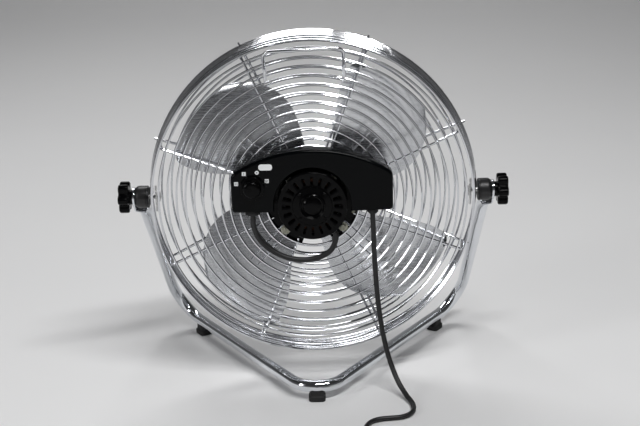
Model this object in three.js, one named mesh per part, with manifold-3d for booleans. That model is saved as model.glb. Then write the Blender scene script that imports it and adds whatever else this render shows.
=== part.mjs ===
// Desk fan with a wire guard that tilts between the arms of a bent tube stand.
// Millimetres. X is across the fan, Y is the way the air goes, Z is up.
// The origin is on the floor under the middle of the fan's own box, cord left out.
import * as THREE from "three";
import { mergeVertices } from "three/addons/utils/BufferGeometryUtils.js";
import Module from "manifold-3d";

const wasm = await Module();
wasm.setup();

// Driving dimensions

const bladeTipRadius = 150;
const guardGroundGap = 29.8;
const runningGap = 0.3;
const overrun = 2;
const weldDepth = 0.7;

// Guard
const bladeTipGap = 17.5;
const rimFlare = 4.7;
const rearFaceSetback = 27;
const bandDepth = 31;
const innerRingRadius = 48.9;
const edgeRingGap = 7.1;
const faceRingCount = 13;
const midRingShare = 0.96;
const ringWireRadius = 1.1;
const rimWireRadius = 1.4;
const bandRingShares = [0.26, 0.41, 0.51, 0.61, 0.71];
const spokeCount = 8;
const spokeWireRadius = 1.5;
const spokeInnerRadius = 45;
const spokeTipReach = 8;
const guardTurn = THREE.MathUtils.degToRad(1.9);
const domeHeight = 33;
const domePower = 1.4;
const frontInnerRingRadius = 50;
const frontEdgeRingGap = 15.2;
const frontRingCount = 8;
const frontBadgeRadius = 36;
const frontBadgeThickness = 2;

// Hairpin wires and the screws between them
const screwCircleGap = 6.6;
const hairpinWireRadius = 1.1;
const hairpinSpacing = 9;
const hairpinOuterRadius = 92;
const hairpinCount = 4;
const washerRadius = 4.9;
const washerThickness = 1;
const screwHeadRadius = 3.6;
const screwHeadHeight = 2.4;
const screwHeadTopShare = 0.7;
const screwHeadSideShare = 0.4;
const screwShankRadius = 2;
const screwShankReach = 9;

// Carry handle
const handleSpan = 80;
const handleWireRadius = 1.8;
const handleDrop = 6.5;
const handleStandoff = 20;
const handleFootInset = 28.5;
const handleFootLength = 12;
const handleBend = 8;

// Motor
const plateMargin = 7.4;
const plateThickness = 2.5;
const plateBoreMargin = 3;
const plateNotchDepth = 9.5;
const plateNotchStart = THREE.MathUtils.degToRad(254);
const plateNotchEnd = THREE.MathUtils.degToRad(292);
const motorRadius = 36;
const motorWall = 1.6;
const rearCoverLength = 25;
const rearCoverEdge = 3;
const coverStepRadius = 20;
const coverStepHeight = 1;
const bossRadius = 12;
const bossHeight = 2.6;
const bossEdge = 1.5;
const ventCount = 20;
const ventInnerRadius = 21.5;
const ventEdgeGap = 5;
const ventWidth = 2.4;
const bumpCircleRadius = 17;
const bumpRadius = 1.9;
const bumpHeight = 0.9;
const frontCoverLength = 16;
const frontCoverShoulder = 6;
const bearingRadius = 7;
const bearingLength = 6;
const bearingSeatWall = 2;
const statorFit = 1.9;
const statorBore = 15.6;
const statorLength = 20;
const statorSetback = 34;
const windingOverhang = 4;
const windingInnerRadius = 19;
const windingOuterRadius = 28;
const windingBarCount = 6;
const windingBarSize = 5;
const rotorCoreRadius = 15;
const shaftRadius = 4;
const shaftFrontReach = 23;

// Blades
const bladeCount = 4;
const bladeRootRadius = 27;
const bladeThickness = 1.2;
const bladeDiscRadius = 33;
const bladeRootHalfDepth = 1.5;
const bladeTipHalfDepth = 11;
const bladeTipSetback = 8;
const bladeCamber = 4;
const bladeRootHalfAngle = THREE.MathUtils.degToRad(30);
const bladeMidHalfAngle = THREE.MathUtils.degToRad(31);
const bladeTipHalfAngle = THREE.MathUtils.degToRad(19);
const bladeSweep = THREE.MathUtils.degToRad(16);
const bladeStart = THREE.MathUtils.degToRad(38);
const hubFlangeRadius = 22;
const hubFlangeThickness = 2.5;
const hubBarrelRadius = 10;
const hubLength = 7;
const nutRadius = 11;
const nutLength = 12;
const nutNose = 7;
const nutNoseShares = [[1, -0.5], [0.8, 0.2], [0.4, 0.73], [0, 0.83]];

// Control box, its outline seen from behind
const boxHalfWidth = 83;
const boxPeak = 59;
const boxShoulder = 34;
const boxBottom = -6.5;
const boxArchGap = 4;
const boxCorner = 5;
const boxDepth = 15.5;
const boxEdge = 3;
const boxWall = 2;
const boxStandoff = 3.4;
const boxBaseThickness = 2;
const standoffRadius = 4;
const standoffMargin = 6;
const standoffWideAngle = THREE.MathUtils.degToRad(15.8);
const standoffHighAngle = THREE.MathUtils.degToRad(39.4);
const knobPlaceShare = 0.488;
const knobAxisZ = 20.6;
const switchWidth = 24;
const switchHeight = 20;
const switchDepth = 9;
const switchBushRadius = 4;
const switchShaftRadius = 3;
const switchShaftReach = 8;
const capacitorZ = 20;
const capacitorMargin = 4.5;
const capacitorHeight = 18;
const capacitorDepth = 9;
const knobSkirtRadius = 12.6;
const knobSkirtHeight = 3.5;
const knobCapRadius = 9;
const knobHeight = 11;
const knobEdge = 1.2;
const knobPointerWidth = 3;
const knobPointerHeight = 0.8;
const knobRestAngle = THREE.MathUtils.degToRad(165);
const glandPlaceShare = 0.512;
const glandRadius = 5.8;
const glandNeckRadius = 4.4;
const glandLength = 4.2;
const glandSetback = 8;

// Motor lead and power cord
const leadRadius = 2.9;
const cordRadius = 2.7;
const coilLoopsPerLayer = 2.75;
const coilMiddleRadius = 31.5;
const coilPitch = 6.8;
const coilLift = 6.2;
const coilCentreX = 74;
const coilCentreY = -213;
const coilSteps = 20;
const coilSides = 6;
const coilLeadOut = 42;
const coilLeadSteps = 3;
const plugLength = 26;
const plugWidth = 24;
const plugHeight = 17;
const plugTaperShare = 0.6;
const plugNeckShare = 0.6;
const plugBladeLength = 25;
const plugBladeHeight = 6.2;
const plugBladeThickness = 1.5;
const plugBladeSpacing = 12.7;
const plugBladeSeat = 8;

// Pivots
const boltRadius = 2.4;
const boltHeadRadius = 6;
const boltHeadHeight = 3;
const bracketThickness = 2;
const bracketWidth = 20;
const bracketHeight = 24;
const bracketInset = 2.7;
const spacerRadius = 11.3;
const spacerLength = 14.6;
const spacerChamfer = 0.8;
const lugThickness = 2.5;
const lugRadius = 10;
const clampHubRadius = 8;
const clampHubLength = 3;
const clampKnobRadius = 15.4;
const clampLobeHeight = 1.7;
const clampLobes = 6;
const clampKnobThickness = 11;
const clampKnobEdge = 1.6;
const clampBore = 8;

// Stand
const tubeRadius = 6.5;
const tubeAxisHeight = 15;
const tubeBend = 30;
const flatOffset = 7.05;
const armLeanIn = 13;
const cornerReach = 158;
const tipReach = 105;
const flatLength = 12;
const shoulderLength = 5;
const roundLength = 26;
const shoulderHalfThickness = 4.4;
const shoulderHalfWidth = 8.6;
const flatPower = 0.4;
const shoulderPower = 0.8;
const tubeSides = 12;
const footPadWidth = 15;
const footPadLength = 18;
const footPadHeight = 5.5;
const footSaddleWidth = 16;
const footSaddleLength = 13;
const footHeight = 14;
const footCorner = 3;
const footSetIn = 8;

// Colours
const chrome = { color: 0xd9dde2, roughness: 0.12, metalness: 1 };
const aluminium = { color: 0xb9bdc4, roughness: 0.32, metalness: 1 };
const steel = { color: 0x9a9ea3, roughness: 0.35, metalness: 1 };
const blackGloss = { color: 0x0b0c0d, roughness: 0.22, metalness: 0 };
const blackSatin = { color: 0x121314, roughness: 0.5, metalness: 0 };
const blackPaint = { color: 0x08090a, roughness: 0.4, metalness: 0.3 };
const rubber = { color: 0x17181a, roughness: 0.85, metalness: 0 };
const copper = { color: 0xb06a3a, roughness: 0.4, metalness: 1 };
const bronze = { color: 0x8c7443, roughness: 0.5, metalness: 1 };
const brass = { color: 0xc7a95b, roughness: 0.3, metalness: 1 };

// Solids: joining, cutting and turning geometry into closed meshes

function solidOf(geometry) {
  const bare = geometry.clone();
  bare.deleteAttribute("normal");
  bare.deleteAttribute("uv");
  const merged = mergeVertices(bare, 1e-4);
  const mesh = new wasm.Mesh({
    numProp: 3,
    vertProperties: new Float32Array(merged.attributes.position.array),
    triVerts: new Uint32Array(merged.index.array),
  });
  return new wasm.Manifold(mesh);
}

function geometryOf(solid) {
  const mesh = solid.getMesh();
  const geometry = new THREE.BufferGeometry();
  geometry.setAttribute("position", new THREE.BufferAttribute(mesh.vertProperties, 3));
  geometry.setIndex(new THREE.BufferAttribute(mesh.triVerts, 1));
  geometry.computeVertexNormals();
  return geometry;
}

function joined(geometries) {
  let row = geometries.map(solidOf);
  while (row.length > 1) {
    const next = [];
    for (let i = 0; i < row.length; i += 2) {
      next.push(i + 1 < row.length ? row[i].add(row[i + 1]) : row[i]);
    }
    row = next;
  }
  return geometryOf(row[0]);
}

function cut(geometry, cutters) {
  if (cutters.length === 0) return geometry;
  return geometryOf(solidOf(geometry).subtract(solidOf(joined(cutters))));
}

function common(a, b) {
  return geometryOf(solidOf(a).intersect(solidOf(b)));
}

// Shapes about the fan's axis, which is Y

function discAlongY(radius, from, to, sides = 32) {
  const disc = new THREE.CylinderGeometry(radius, radius, to - from, sides);
  return disc.translate(0, (from + to) / 2, 0);
}

function discAlongX(radius, from, to, sides = 24) {
  return discAlongY(radius, from, to, sides).rotateZ(-Math.PI / 2);
}

function discAlongZ(radius, from, to, sides = 24) {
  return discAlongY(radius, from, to, sides).rotateX(Math.PI / 2);
}

function latheAlongY(profile, sides = 32) {
  const points = profile.map(([radius, along]) => new THREE.Vector2(radius, along));
  return new THREE.LatheGeometry(points, sides);
}

function block(width, depth, height) {
  return new THREE.BoxGeometry(width, depth, height);
}

// Wires

// More steps on a larger ring keep each step about as long.
function ringSteps(radius) {
  return radius < midRingShare * rearRimRadius ? 2 * spokeCount : 3 * spokeCount;
}

// A ring of wire whose section has a corner towards the wires it is welded to.
// The spokes cross each ring in the middle of a step.
function wireRing(radius, along, wireRadius, cornerAngle, sides = 3) {
  const profile = Array.from({ length: sides + 1 }, (_, i) => {
    const angle = cornerAngle + ((i % sides) * 2 * Math.PI) / sides;
    return [radius + wireRadius * Math.cos(angle), along + wireRadius * Math.sin(angle)];
  });
  const steps = ringSteps(radius);
  return latheAlongY(profile, steps).rotateY(Math.PI / spokeCount - Math.PI / steps);
}

// A closed solid through rings of points, each ring with the same number of points.
function loft(rings) {
  const count = rings[0].length;
  const positions = rings.flat().flatMap((p) => [p.x, p.y, p.z]);
  const index = [];
  for (let i = 0; i + 1 < rings.length; i++) {
    for (let j = 0; j < count; j++) {
      const a = i * count + j;
      const b = i * count + ((j + 1) % count);
      index.push(a, b, b + count, a, b + count, a + count);
    }
  }
  const last = (rings.length - 1) * count;
  for (let j = 1; j + 1 < count; j++) {
    index.push(0, j + 1, j);
    index.push(last, last + j, last + j + 1);
  }
  const geometry = new THREE.BufferGeometry();
  geometry.setAttribute("position", new THREE.Float32BufferAttribute(positions, 3));
  geometry.setIndex(index);
  return geometry;
}

// Rings of a section carried along points. The section gives [outward, sideways] pairs at each
// point, outward being the part of the given direction that is square to the path.
function sectionsAlong(points, outward, sectionAt) {
  return points.map((point, i) => {
    const before = points[Math.max(i - 1, 0)];
    const after = points[Math.min(i + 1, points.length - 1)];
    const into = point.clone().sub(before).normalize();
    const out = after.clone().sub(point).normalize();
    const tangent = into.clone().add(out).normalize();
    const mitre = 1 / Math.max(tangent.dot(i ? into : out), Math.SQRT1_2);
    const u = outward(point).clone();
    u.addScaledVector(tangent, -u.dot(tangent)).normalize();
    const v = new THREE.Vector3().crossVectors(tangent, u);
    const turn = out.clone().sub(into);
    const bent = turn.length() > 1e-6;
    turn.normalize();
    return sectionAt(i).map(([a, b]) => {
      const offset = u.clone().multiplyScalar(a).addScaledVector(v, b);
      if (bent) offset.addScaledVector(turn, offset.dot(turn) * (mitre - 1));
      return point.clone().add(offset);
    });
  });
}

function roundSection(radius, sides, turn = 0.5) {
  return Array.from({ length: sides }, (_, i) => {
    const angle = ((i + turn) / sides) * 2 * Math.PI;
    return [radius * Math.cos(angle), radius * Math.sin(angle)];
  });
}

// A section turned by three quarters of a side has a corner straight to one side.
const cornerSideways = 0.75;

function bentWire(points, radius, sides, outward, turn) {
  const section = roundSection(radius, sides, turn);
  return loft(sectionsAlong(points, () => outward, () => section));
}

// A polyline with each inner corner rounded by an arc.
function filleted(corners, radius, arcSteps) {
  const points = [corners[0].clone()];
  for (let i = 1; i + 1 < corners.length; i++) {
    const back = corners[i - 1].clone().sub(corners[i]).normalize();
    const on = corners[i + 1].clone().sub(corners[i]).normalize();
    const half = back.angleTo(on) / 2;
    const middle = back.clone().add(on).normalize();
    const centre = corners[i].clone().addScaledVector(middle, radius / Math.sin(half));
    const start = corners[i].clone().addScaledVector(back, radius / Math.tan(half));
    const from = start.clone().sub(centre);
    const normal = new THREE.Vector3().crossVectors(on, back).normalize();
    const sweep = Math.PI - 2 * half;
    for (let k = 0; k <= arcSteps; k++) {
      const arm = from.clone().applyAxisAngle(normal, (sweep * k) / arcSteps);
      points.push(centre.clone().add(arm));
    }
  }
  points.push(corners[corners.length - 1].clone());
  return points;
}

const alongX = new THREE.Vector3(1, 0, 0);
const alongY = new THREE.Vector3(0, 1, 0);

// A piece turned about the fan's axis, the way that angles grow from X towards Z.
function turned(geometry, angle) {
  return geometry.clone().rotateY(-angle);
}

function aroundAxis(geometry, count, start = 0) {
  return Array.from({ length: count }, (_, i) => turned(geometry, start + (i * 2 * Math.PI) / count));
}

// Guard

const rearRimRadius = bladeTipRadius + bladeTipGap;
const frontRimRadius = rearRimRadius + rimFlare;
const outerRingRadius = rearRimRadius - edgeRingGap;
const frontOuterRingRadius = frontRimRadius - frontEdgeRingGap;
const pivotHeight = frontRimRadius + guardGroundGap;
const screwCircleRadius = motorRadius + screwCircleGap;
const rearFace = -rearFaceSetback;
const frontRim = rearFace + bandDepth;
const bandFlare = Math.atan2(rimFlare, bandDepth);
const spokeLayer = rearFace + ringWireRadius + spokeWireRadius - weldDepth;
const hairpinLayer = rearFace + ringWireRadius + hairpinWireRadius - weldDepth;

function bandRadiusAt(along) {
  return rearRimRadius + Math.tan(bandFlare) * (along - rearFace);
}

function faceRingRadius(i) {
  return innerRingRadius + ((outerRingRadius - innerRingRadius) * i) / (faceRingCount - 1);
}

// Halfway along a step the rings come this much nearer to the axis.
const stepInset = 1 - Math.cos(Math.PI / (3 * spokeCount));

function rearSpoke() {
  const inside = ringWireRadius + spokeWireRadius - weldDepth;
  const corner = rearRimRadius * (1 - stepInset) - inside;
  const rimReach = frontRimRadius * (1 - stepInset) - inside;
  const points = [
    new THREE.Vector3(spokeInnerRadius, spokeLayer, 0),
    new THREE.Vector3(corner, spokeLayer, 0),
    new THREE.Vector3(rimReach, hookLayer, 0),
    new THREE.Vector3(rimReach + spokeTipReach, hookLayer, 0),
  ];
  return bentWire(points, spokeWireRadius, 3, new THREE.Vector3(0, 0, 1), cornerSideways);
}

function hairpin() {
  const half = hairpinSpacing / 2;
  const arc = Array.from({ length: 5 }, (_, i) => {
    const angle = Math.PI / 2 + (i * Math.PI) / 4;
    const reach = screwCircleRadius + half * Math.cos(angle);
    return new THREE.Vector3(reach, hairpinLayer, half * Math.sin(angle));
  });
  const points = [
    new THREE.Vector3(hairpinOuterRadius, hairpinLayer, half),
    ...arc,
    new THREE.Vector3(hairpinOuterRadius, hairpinLayer, -half),
  ];
  return bentWire(points, hairpinWireRadius, 3, alongY);
}

function rearGuard() {
  const wires = [wireRing(rearRimRadius, rearFace, rimWireRadius, 0, 4)];
  for (let i = 0; i < faceRingCount; i++) {
    wires.push(wireRing(faceRingRadius(i), rearFace, ringWireRadius, Math.PI / 2));
  }
  // The last stretch before the front rim stays free for the pivot bolts.
  for (const share of bandRingShares) {
    const along = rearFace + bandDepth * share;
    wires.push(wireRing(bandRadiusAt(along), along, ringWireRadius, Math.PI));
  }
  wires.push(wireRing(frontRimRadius, frontRim, rimWireRadius, 0, 4));
  wires.push(...aroundAxis(rearSpoke(), spokeCount, Math.PI / spokeCount));
  wires.push(...aroundAxis(hairpin(), hairpinCount, Math.PI / hairpinCount));
  return joined(wires);
}

const hookLayer = frontRim + rimWireRadius + spokeWireRadius - weldDepth;
const frontGuardRim = hookLayer + spokeWireRadius + runningGap + rimWireRadius;

function domeAt(radius) {
  const share = Math.pow(radius / frontRimRadius, domePower);
  return frontGuardRim + domeHeight * (1 - share);
}

function frontSpoke() {
  const under = ringWireRadius + spokeWireRadius - weldDepth;
  const shares = [1, 0.94, 0.7, 0.42, 0.17];
  const points = shares.map((share) => {
    const radius = frontRimRadius * share;
    return new THREE.Vector3(radius, domeAt(radius) - under, 0);
  });
  points[0].set(frontRimRadius * (1 - stepInset), frontGuardRim, 0);
  return bentWire(points, spokeWireRadius, 3, new THREE.Vector3(0, 0, 1), cornerSideways);
}

function frontGuard() {
  const wires = [wireRing(frontRimRadius, frontGuardRim, rimWireRadius, 0, 4)];
  for (let i = 0; i < frontRingCount; i++) {
    const share = i / (frontRingCount - 1);
    const radius = THREE.MathUtils.lerp(frontInnerRingRadius, frontOuterRingRadius, share);
    wires.push(wireRing(radius, domeAt(radius), ringWireRadius, -Math.PI / 2));
  }
  wires.push(...aroundAxis(frontSpoke(), spokeCount, Math.PI / spokeCount));
  const badge = domeAt(frontBadgeRadius) - ringWireRadius;
  wires.push(discAlongY(frontBadgeRadius, badge - frontBadgeThickness, badge, 16));
  return joined(wires);
}

function carryHandle() {
  const half = handleSpan / 2;
  const ringBack = ringWireRadius * Math.cos(Math.PI / 3);
  const foot = rearFace - ringBack - handleWireRadius - runningGap;
  const bar = rearFace - handleStandoff;
  const barHeight = rearRimRadius - handleDrop;
  const footOuter = rearRimRadius - handleFootInset;
  const footInner = footOuter - handleFootLength;
  const corners = [
    new THREE.Vector3(-half, foot, footInner),
    new THREE.Vector3(-half, foot, footOuter),
    new THREE.Vector3(-half, bar, barHeight),
    new THREE.Vector3(half, bar, barHeight),
    new THREE.Vector3(half, foot, footOuter),
    new THREE.Vector3(half, foot, footInner),
  ];
  const points = filleted(corners, handleBend, 4);
  return bentWire(points, handleWireRadius, 6, new THREE.Vector3(0, 1, 1));
}

// Motor, from the plate backwards and forwards

const plateRear = spokeLayer + spokeWireRadius + runningGap;
const plateFront = plateRear + plateThickness;
const plateRadius = screwCircleRadius + plateMargin;
const rearCoverOpen = plateRear - runningGap;
const rearCoverFace = rearCoverOpen - rearCoverLength;
const coverFaceInside = rearCoverFace + motorWall;
const frontCoverOpen = plateFront + runningGap;
const frontCoverFace = frontCoverOpen + frontCoverLength;

function mountPlate() {
  const disc = discAlongY(plateRadius, plateRear, plateFront, 24);
  const boreRadius = motorRadius - plateBoreMargin;
  const bore = discAlongY(boreRadius, plateRear - overrun, plateFront + overrun, 20);
  const holes = aroundAxis(
    discAlongY(screwShankRadius + runningGap, plateRear - overrun, plateFront + overrun, 6)
      .translate(screwCircleRadius, 0, 0),
    hairpinCount,
    Math.PI / hairpinCount,
  );
  const notch = new THREE.Shape();
  notch.absarc(0, 0, plateRadius + overrun, plateNotchStart, plateNotchEnd, false);
  notch.absarc(0, 0, plateRadius - plateNotchDepth, plateNotchEnd, plateNotchStart, true);
  const depth = plateThickness + 2 * overrun;
  const notchSolid = new THREE.ExtrudeGeometry(notch, { depth, bevelEnabled: false, curveSegments: 3 })
    .rotateX(Math.PI / 2)
    .translate(0, plateFront + overrun, 0);
  return cut(disc, [bore, ...holes, notchSolid]);
}

function mountScrew() {
  const washerBack = hairpinLayer - hairpinWireRadius - ringWireRadius;
  const headBack = washerBack - washerThickness;
  const profile = [
    [0, headBack - screwHeadHeight],
    [screwHeadRadius * screwHeadTopShare, headBack - screwHeadHeight],
    [screwHeadRadius, headBack - screwHeadHeight * screwHeadSideShare],
    [screwHeadRadius, headBack],
    [washerRadius, headBack],
    [washerRadius, washerBack],
    [screwShankRadius, washerBack],
    [screwShankRadius, washerBack + screwShankReach],
    [0, washerBack + screwShankReach],
  ];
  return latheAlongY(profile, 6);
}

function motorRearCover() {
  const inside = motorRadius - motorWall;
  const seat = bearingRadius + runningGap;
  const seatOuter = seat + bearingSeatWall;
  const seatEnd = coverFaceInside + bearingLength;
  const face = rearCoverFace;
  const profile = [
    [0, face - coverStepHeight - bossHeight],
    [bossRadius - bossEdge, face - coverStepHeight - bossHeight],
    [bossRadius, face - coverStepHeight - bossHeight + bossEdge],
    [bossRadius, face - coverStepHeight],
    [coverStepRadius - coverStepHeight, face - coverStepHeight],
    [coverStepRadius, face],
    [motorRadius - rearCoverEdge, face],
    [motorRadius, face + rearCoverEdge],
    [motorRadius, rearCoverOpen],
    [inside, rearCoverOpen],
    [inside, coverFaceInside + rearCoverEdge],
    [inside - rearCoverEdge, coverFaceInside],
    [seatOuter, coverFaceInside],
    [seatOuter, seatEnd],
    [seat, seatEnd],
    [seat, coverFaceInside],
    [0, coverFaceInside],
  ];
  const ventOuterRadius = motorRadius - ventEdgeGap;
  const vent = block(ventOuterRadius - ventInnerRadius, motorWall + 2 * overrun, ventWidth)
    .translate((ventOuterRadius + ventInnerRadius) / 2, face + motorWall / 2, 0);
  const bumpTop = face - coverStepHeight - bumpHeight;
  const bump = discAlongY(bumpRadius, bumpTop, face, 6).translate(bumpCircleRadius, 0, 0);
  const shell = joined([latheAlongY(profile, 20), ...aroundAxis(bump, 4, Math.PI / 4)]);
  return cut(shell, aroundAxis(vent, ventCount));
}

function motorFrontCover() {
  const inside = motorRadius - motorWall;
  const seat = bearingRadius + runningGap;
  const seatOuter = seat + bearingSeatWall;
  const face = frontCoverFace;
  const shoulder = face - frontCoverShoulder;
  const bore = shaftRadius + runningGap;
  const profile = [
    [bore, face],
    [seatOuter, face],
    [seatOuter + motorWall, shoulder + motorWall],
    [motorRadius - rearCoverEdge, shoulder],
    [motorRadius, shoulder - rearCoverEdge],
    [motorRadius, frontCoverOpen],
    [inside, frontCoverOpen],
    [inside, shoulder - rearCoverEdge],
    [inside - rearCoverEdge + motorWall, shoulder - motorWall],
    [seatOuter, shoulder - motorWall],
    [seat, shoulder - motorWall],
    [seat, face - motorWall],
    [bore, face - motorWall],
    [bore, face],
  ];
  return latheAlongY(profile.reverse(), 14);
}

function bearing(from) {
  const bore = shaftRadius + runningGap;
  const profile = [
    [bore, from],
    [bearingRadius, from],
    [bearingRadius, from + bearingLength - runningGap],
    [bore, from + bearingLength - runningGap],
    [bore, from],
  ];
  return latheAlongY(profile, 12);
}

const statorRear = -statorSetback - statorLength / 2 + bearingLength;
const statorFront = statorRear + statorLength;

function windingBars(size, from, to) {
  const radius = (windingInnerRadius + windingOuterRadius) / 2;
  const bar = block(size, to - from, size).translate(radius, (from + to) / 2, 0);
  return aroundAxis(bar, windingBarCount);
}

function statorCore() {
  const core = discAlongY(motorRadius - motorWall - statorFit, statorRear, statorFront, 20);
  const bore = discAlongY(statorBore, statorRear - overrun, statorFront + overrun, 16);
  const slot = windingBarSize + 2 * runningGap;
  return cut(core, [bore, ...windingBars(slot, statorRear - overrun, statorFront + overrun)]);
}

function windingEnd(from, to) {
  const profile = [
    [windingInnerRadius, from],
    [windingOuterRadius, from],
    [windingOuterRadius, to],
    [windingInnerRadius, to],
    [windingInnerRadius, from],
  ];
  return latheAlongY(profile, 12);
}

function statorWinding() {
  const rear = statorRear - runningGap;
  const front = statorFront + runningGap;
  return joined([
    windingEnd(rear - windingOverhang, rear),
    windingEnd(front, front + windingOverhang),
    ...windingBars(windingBarSize, rear - overrun, front + overrun),
  ]);
}

// Rotor

const hubRear = frontCoverFace + runningGap * 2;
const hubFlangeTop = hubRear + hubFlangeThickness;

function motorShaft() {
  const rear = coverFaceInside + runningGap;
  return discAlongY(shaftRadius, rear, rear + shaftSpan(), 12);
}

function shaftSpan() {
  return frontCoverFace + shaftFrontReach - (coverFaceInside + runningGap);
}

function rotorCore() {
  const core = discAlongY(rotorCoreRadius, statorRear, statorFront, 16);
  const bore = discAlongY(shaftRadius + runningGap, statorRear - overrun, statorFront + overrun, 12);
  return cut(core, [bore]);
}

function bladeHub() {
  const bore = shaftRadius + runningGap;
  const profile = [
    [bore, hubRear],
    [hubFlangeRadius, hubRear],
    [hubFlangeRadius, hubFlangeTop],
    [hubBarrelRadius, hubFlangeTop],
    [hubBarrelRadius, hubRear + hubLength],
    [bore, hubRear + hubLength],
    [bore, hubRear],
  ];
  return latheAlongY(profile, 14);
}

const bladeDiscRear = hubFlangeTop + runningGap;

// One blade's middle surface: across goes 0 to 1 from root to tip, along from -1 to 1.
function bladePoint(across, along, side) {
  const radius = THREE.MathUtils.lerp(bladeRootRadius, bladeTipRadius, across);
  const toMid = THREE.MathUtils.lerp(bladeRootHalfAngle, bladeMidHalfAngle, Math.min(across * 2, 1));
  const pastMid = Math.pow(Math.max(across * 2 - 1, 0), 2);
  const halfAngle = THREE.MathUtils.lerp(toMid, bladeTipHalfAngle, pastMid);
  const angle = bladeSweep * across * across + along * halfAngle;
  const halfDepth = THREE.MathUtils.lerp(bladeRootHalfDepth, bladeTipHalfDepth, Math.sqrt(across));
  const camber = bladeCamber * across * (1 - along * along);
  const plane = bladeDiscRear + bladeThickness / 2 - bladeTipSetback * across;
  const depth = plane - along * halfDepth - camber + (side * bladeThickness) / 2;
  return new THREE.Vector3(radius * Math.cos(angle), depth, radius * Math.sin(angle));
}

function blade() {
  const acrossShares = [0, 0.25, 0.55, 0.82, 1];
  const alongShares = [-1, -0.5, 0, 0.5, 1];
  const rings = acrossShares.map((across) => [
    ...alongShares.map((along) => bladePoint(across, along, 1)),
    ...[...alongShares].reverse().map((along) => bladePoint(across, along, -1)),
  ]);
  return loft(rings);
}

function fanBlade() {
  const disc = discAlongY(bladeDiscRadius, bladeDiscRear, bladeDiscRear + bladeThickness, 24);
  const blades = aroundAxis(blade(), bladeCount, bladeStart);
  const bore = discAlongY(hubBarrelRadius + runningGap, -bladeTipRadius, bladeTipRadius, 16);
  return cut(joined([disc, ...blades]), [bore]);
}

function bladeNut() {
  const from = bladeDiscRear + bladeThickness + runningGap;
  const inside = hubBarrelRadius + runningGap;
  const hubEnd = hubRear + hubLength + runningGap;
  const shaftEnd = frontCoverFace + shaftFrontReach + runningGap;
  const bore = shaftRadius + runningGap;
  const outer = nutRadius + motorWall;
  const noseStart = Math.max(from + nutLength, shaftEnd - nutNose / 2);
  const nose = nutNoseShares.map(([across, along]) => [outer * across, noseStart + nutNose * along]);
  const profile = [
    [inside, from],
    [outer, from],
    ...nose,
    [0, shaftEnd],
    [bore, shaftEnd],
    [bore, hubEnd],
    [inside, hubEnd],
    [inside, from],
  ];
  return latheAlongY(profile, 14);
}

// Control box

const boxFront = rearFace - ringWireRadius - boxStandoff;
const boxFace = boxFront - boxDepth;
const boxArch = motorRadius + boxArchGap;
const knobAxisX = -acrossSide(knobPlaceShare);
const glandX = acrossSide(glandPlaceShare);

// A place between the motor's arch and the side of the box.
function acrossSide(share) {
  return THREE.MathUtils.lerp(boxArch, boxHalfWidth, share);
}

// The outline with the motor's arch, drawn in by an even inset.
function boxOutline(inset) {
  const side = boxHalfWidth - inset;
  const bottom = boxBottom + inset;
  const arch = boxArch + inset;
  const rise = boxPeak - boxShoulder;
  const topRadius = (boxHalfWidth ** 2 + rise ** 2) / (2 * rise);
  const topCentre = boxPeak - topRadius;
  const top = topRadius - inset;
  const corner = Math.max(boxCorner - inset, overrun);
  const archAngle = Math.asin(bottom / arch);
  const shoulderX = side - corner;
  const shoulderAngle = Math.acos(shoulderX / top);
  const sideTop = topCentre + Math.sqrt(top ** 2 - side ** 2) - corner / 2;
  const shape = new THREE.Shape();
  shape.moveTo(-side + corner, bottom);
  shape.lineTo(-arch * Math.cos(archAngle), bottom);
  shape.absarc(0, 0, arch, Math.PI - archAngle, archAngle, true);
  shape.lineTo(side - corner, bottom);
  shape.quadraticCurveTo(side, bottom, side, bottom + corner);
  shape.lineTo(side, sideTop - corner / 2);
  shape.quadraticCurveTo(side, sideTop + corner / 2, shoulderX, topCentre + top * Math.sin(shoulderAngle));
  shape.absarc(0, topCentre, top, shoulderAngle, Math.PI - shoulderAngle, false);
  shape.quadraticCurveTo(-side, sideTop + corner / 2, -side, sideTop - corner / 2);
  shape.lineTo(-side, bottom + corner);
  shape.quadraticCurveTo(-side, bottom, -side + corner, bottom);
  return shape;
}

// An outline in X and Z, extruded along Y between two planes.
function plateBetween(shape, from, to, bevel = 0) {
  const solid = new THREE.ExtrudeGeometry(shape, {
    depth: to - from - 2 * bevel,
    curveSegments: 5,
    bevelEnabled: bevel > 0,
    bevelThickness: bevel,
    bevelSize: bevel,
    bevelOffset: 0,
    bevelSegments: 1,
  });
  return solid.rotateX(Math.PI / 2).translate(0, to - bevel, 0);
}

function glandCutter(x) {
  const along = boxFront - glandSetback;
  return discAlongZ(glandNeckRadius + runningGap, boxBottom - overrun, boxBottom + boxWall + overrun, 12)
    .translate(x, along, 0);
}

function controlBoxCover() {
  const outer = plateBetween(boxOutline(boxEdge), boxFace, boxFront + 2 * boxEdge, boxEdge);
  const keep = block(4 * boxHalfWidth, boxDepth, 4 * boxHalfWidth).translate(0, boxFront - boxDepth / 2, 0);
  const pocket = plateBetween(boxOutline(boxWall), boxFace + boxWall, boxFront + overrun);
  const holeRadius = switchBushRadius + runningGap;
  const switchHole = discAlongY(holeRadius, boxFace - overrun, boxFace + boxWall + overrun, 12)
    .translate(knobAxisX, 0, knobAxisZ);
  const trimmed = common(outer, keep);
  return cut(trimmed, [pocket, switchHole, glandCutter(-glandX), glandCutter(glandX)]);
}

// The last face ring that lies the studs' margin inside the box.
function lastRingInBox() {
  const pitch = faceRingRadius(1) - innerRingRadius;
  return faceRingRadius(Math.floor((boxHalfWidth - standoffMargin - innerRingRadius) / pitch));
}

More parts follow.
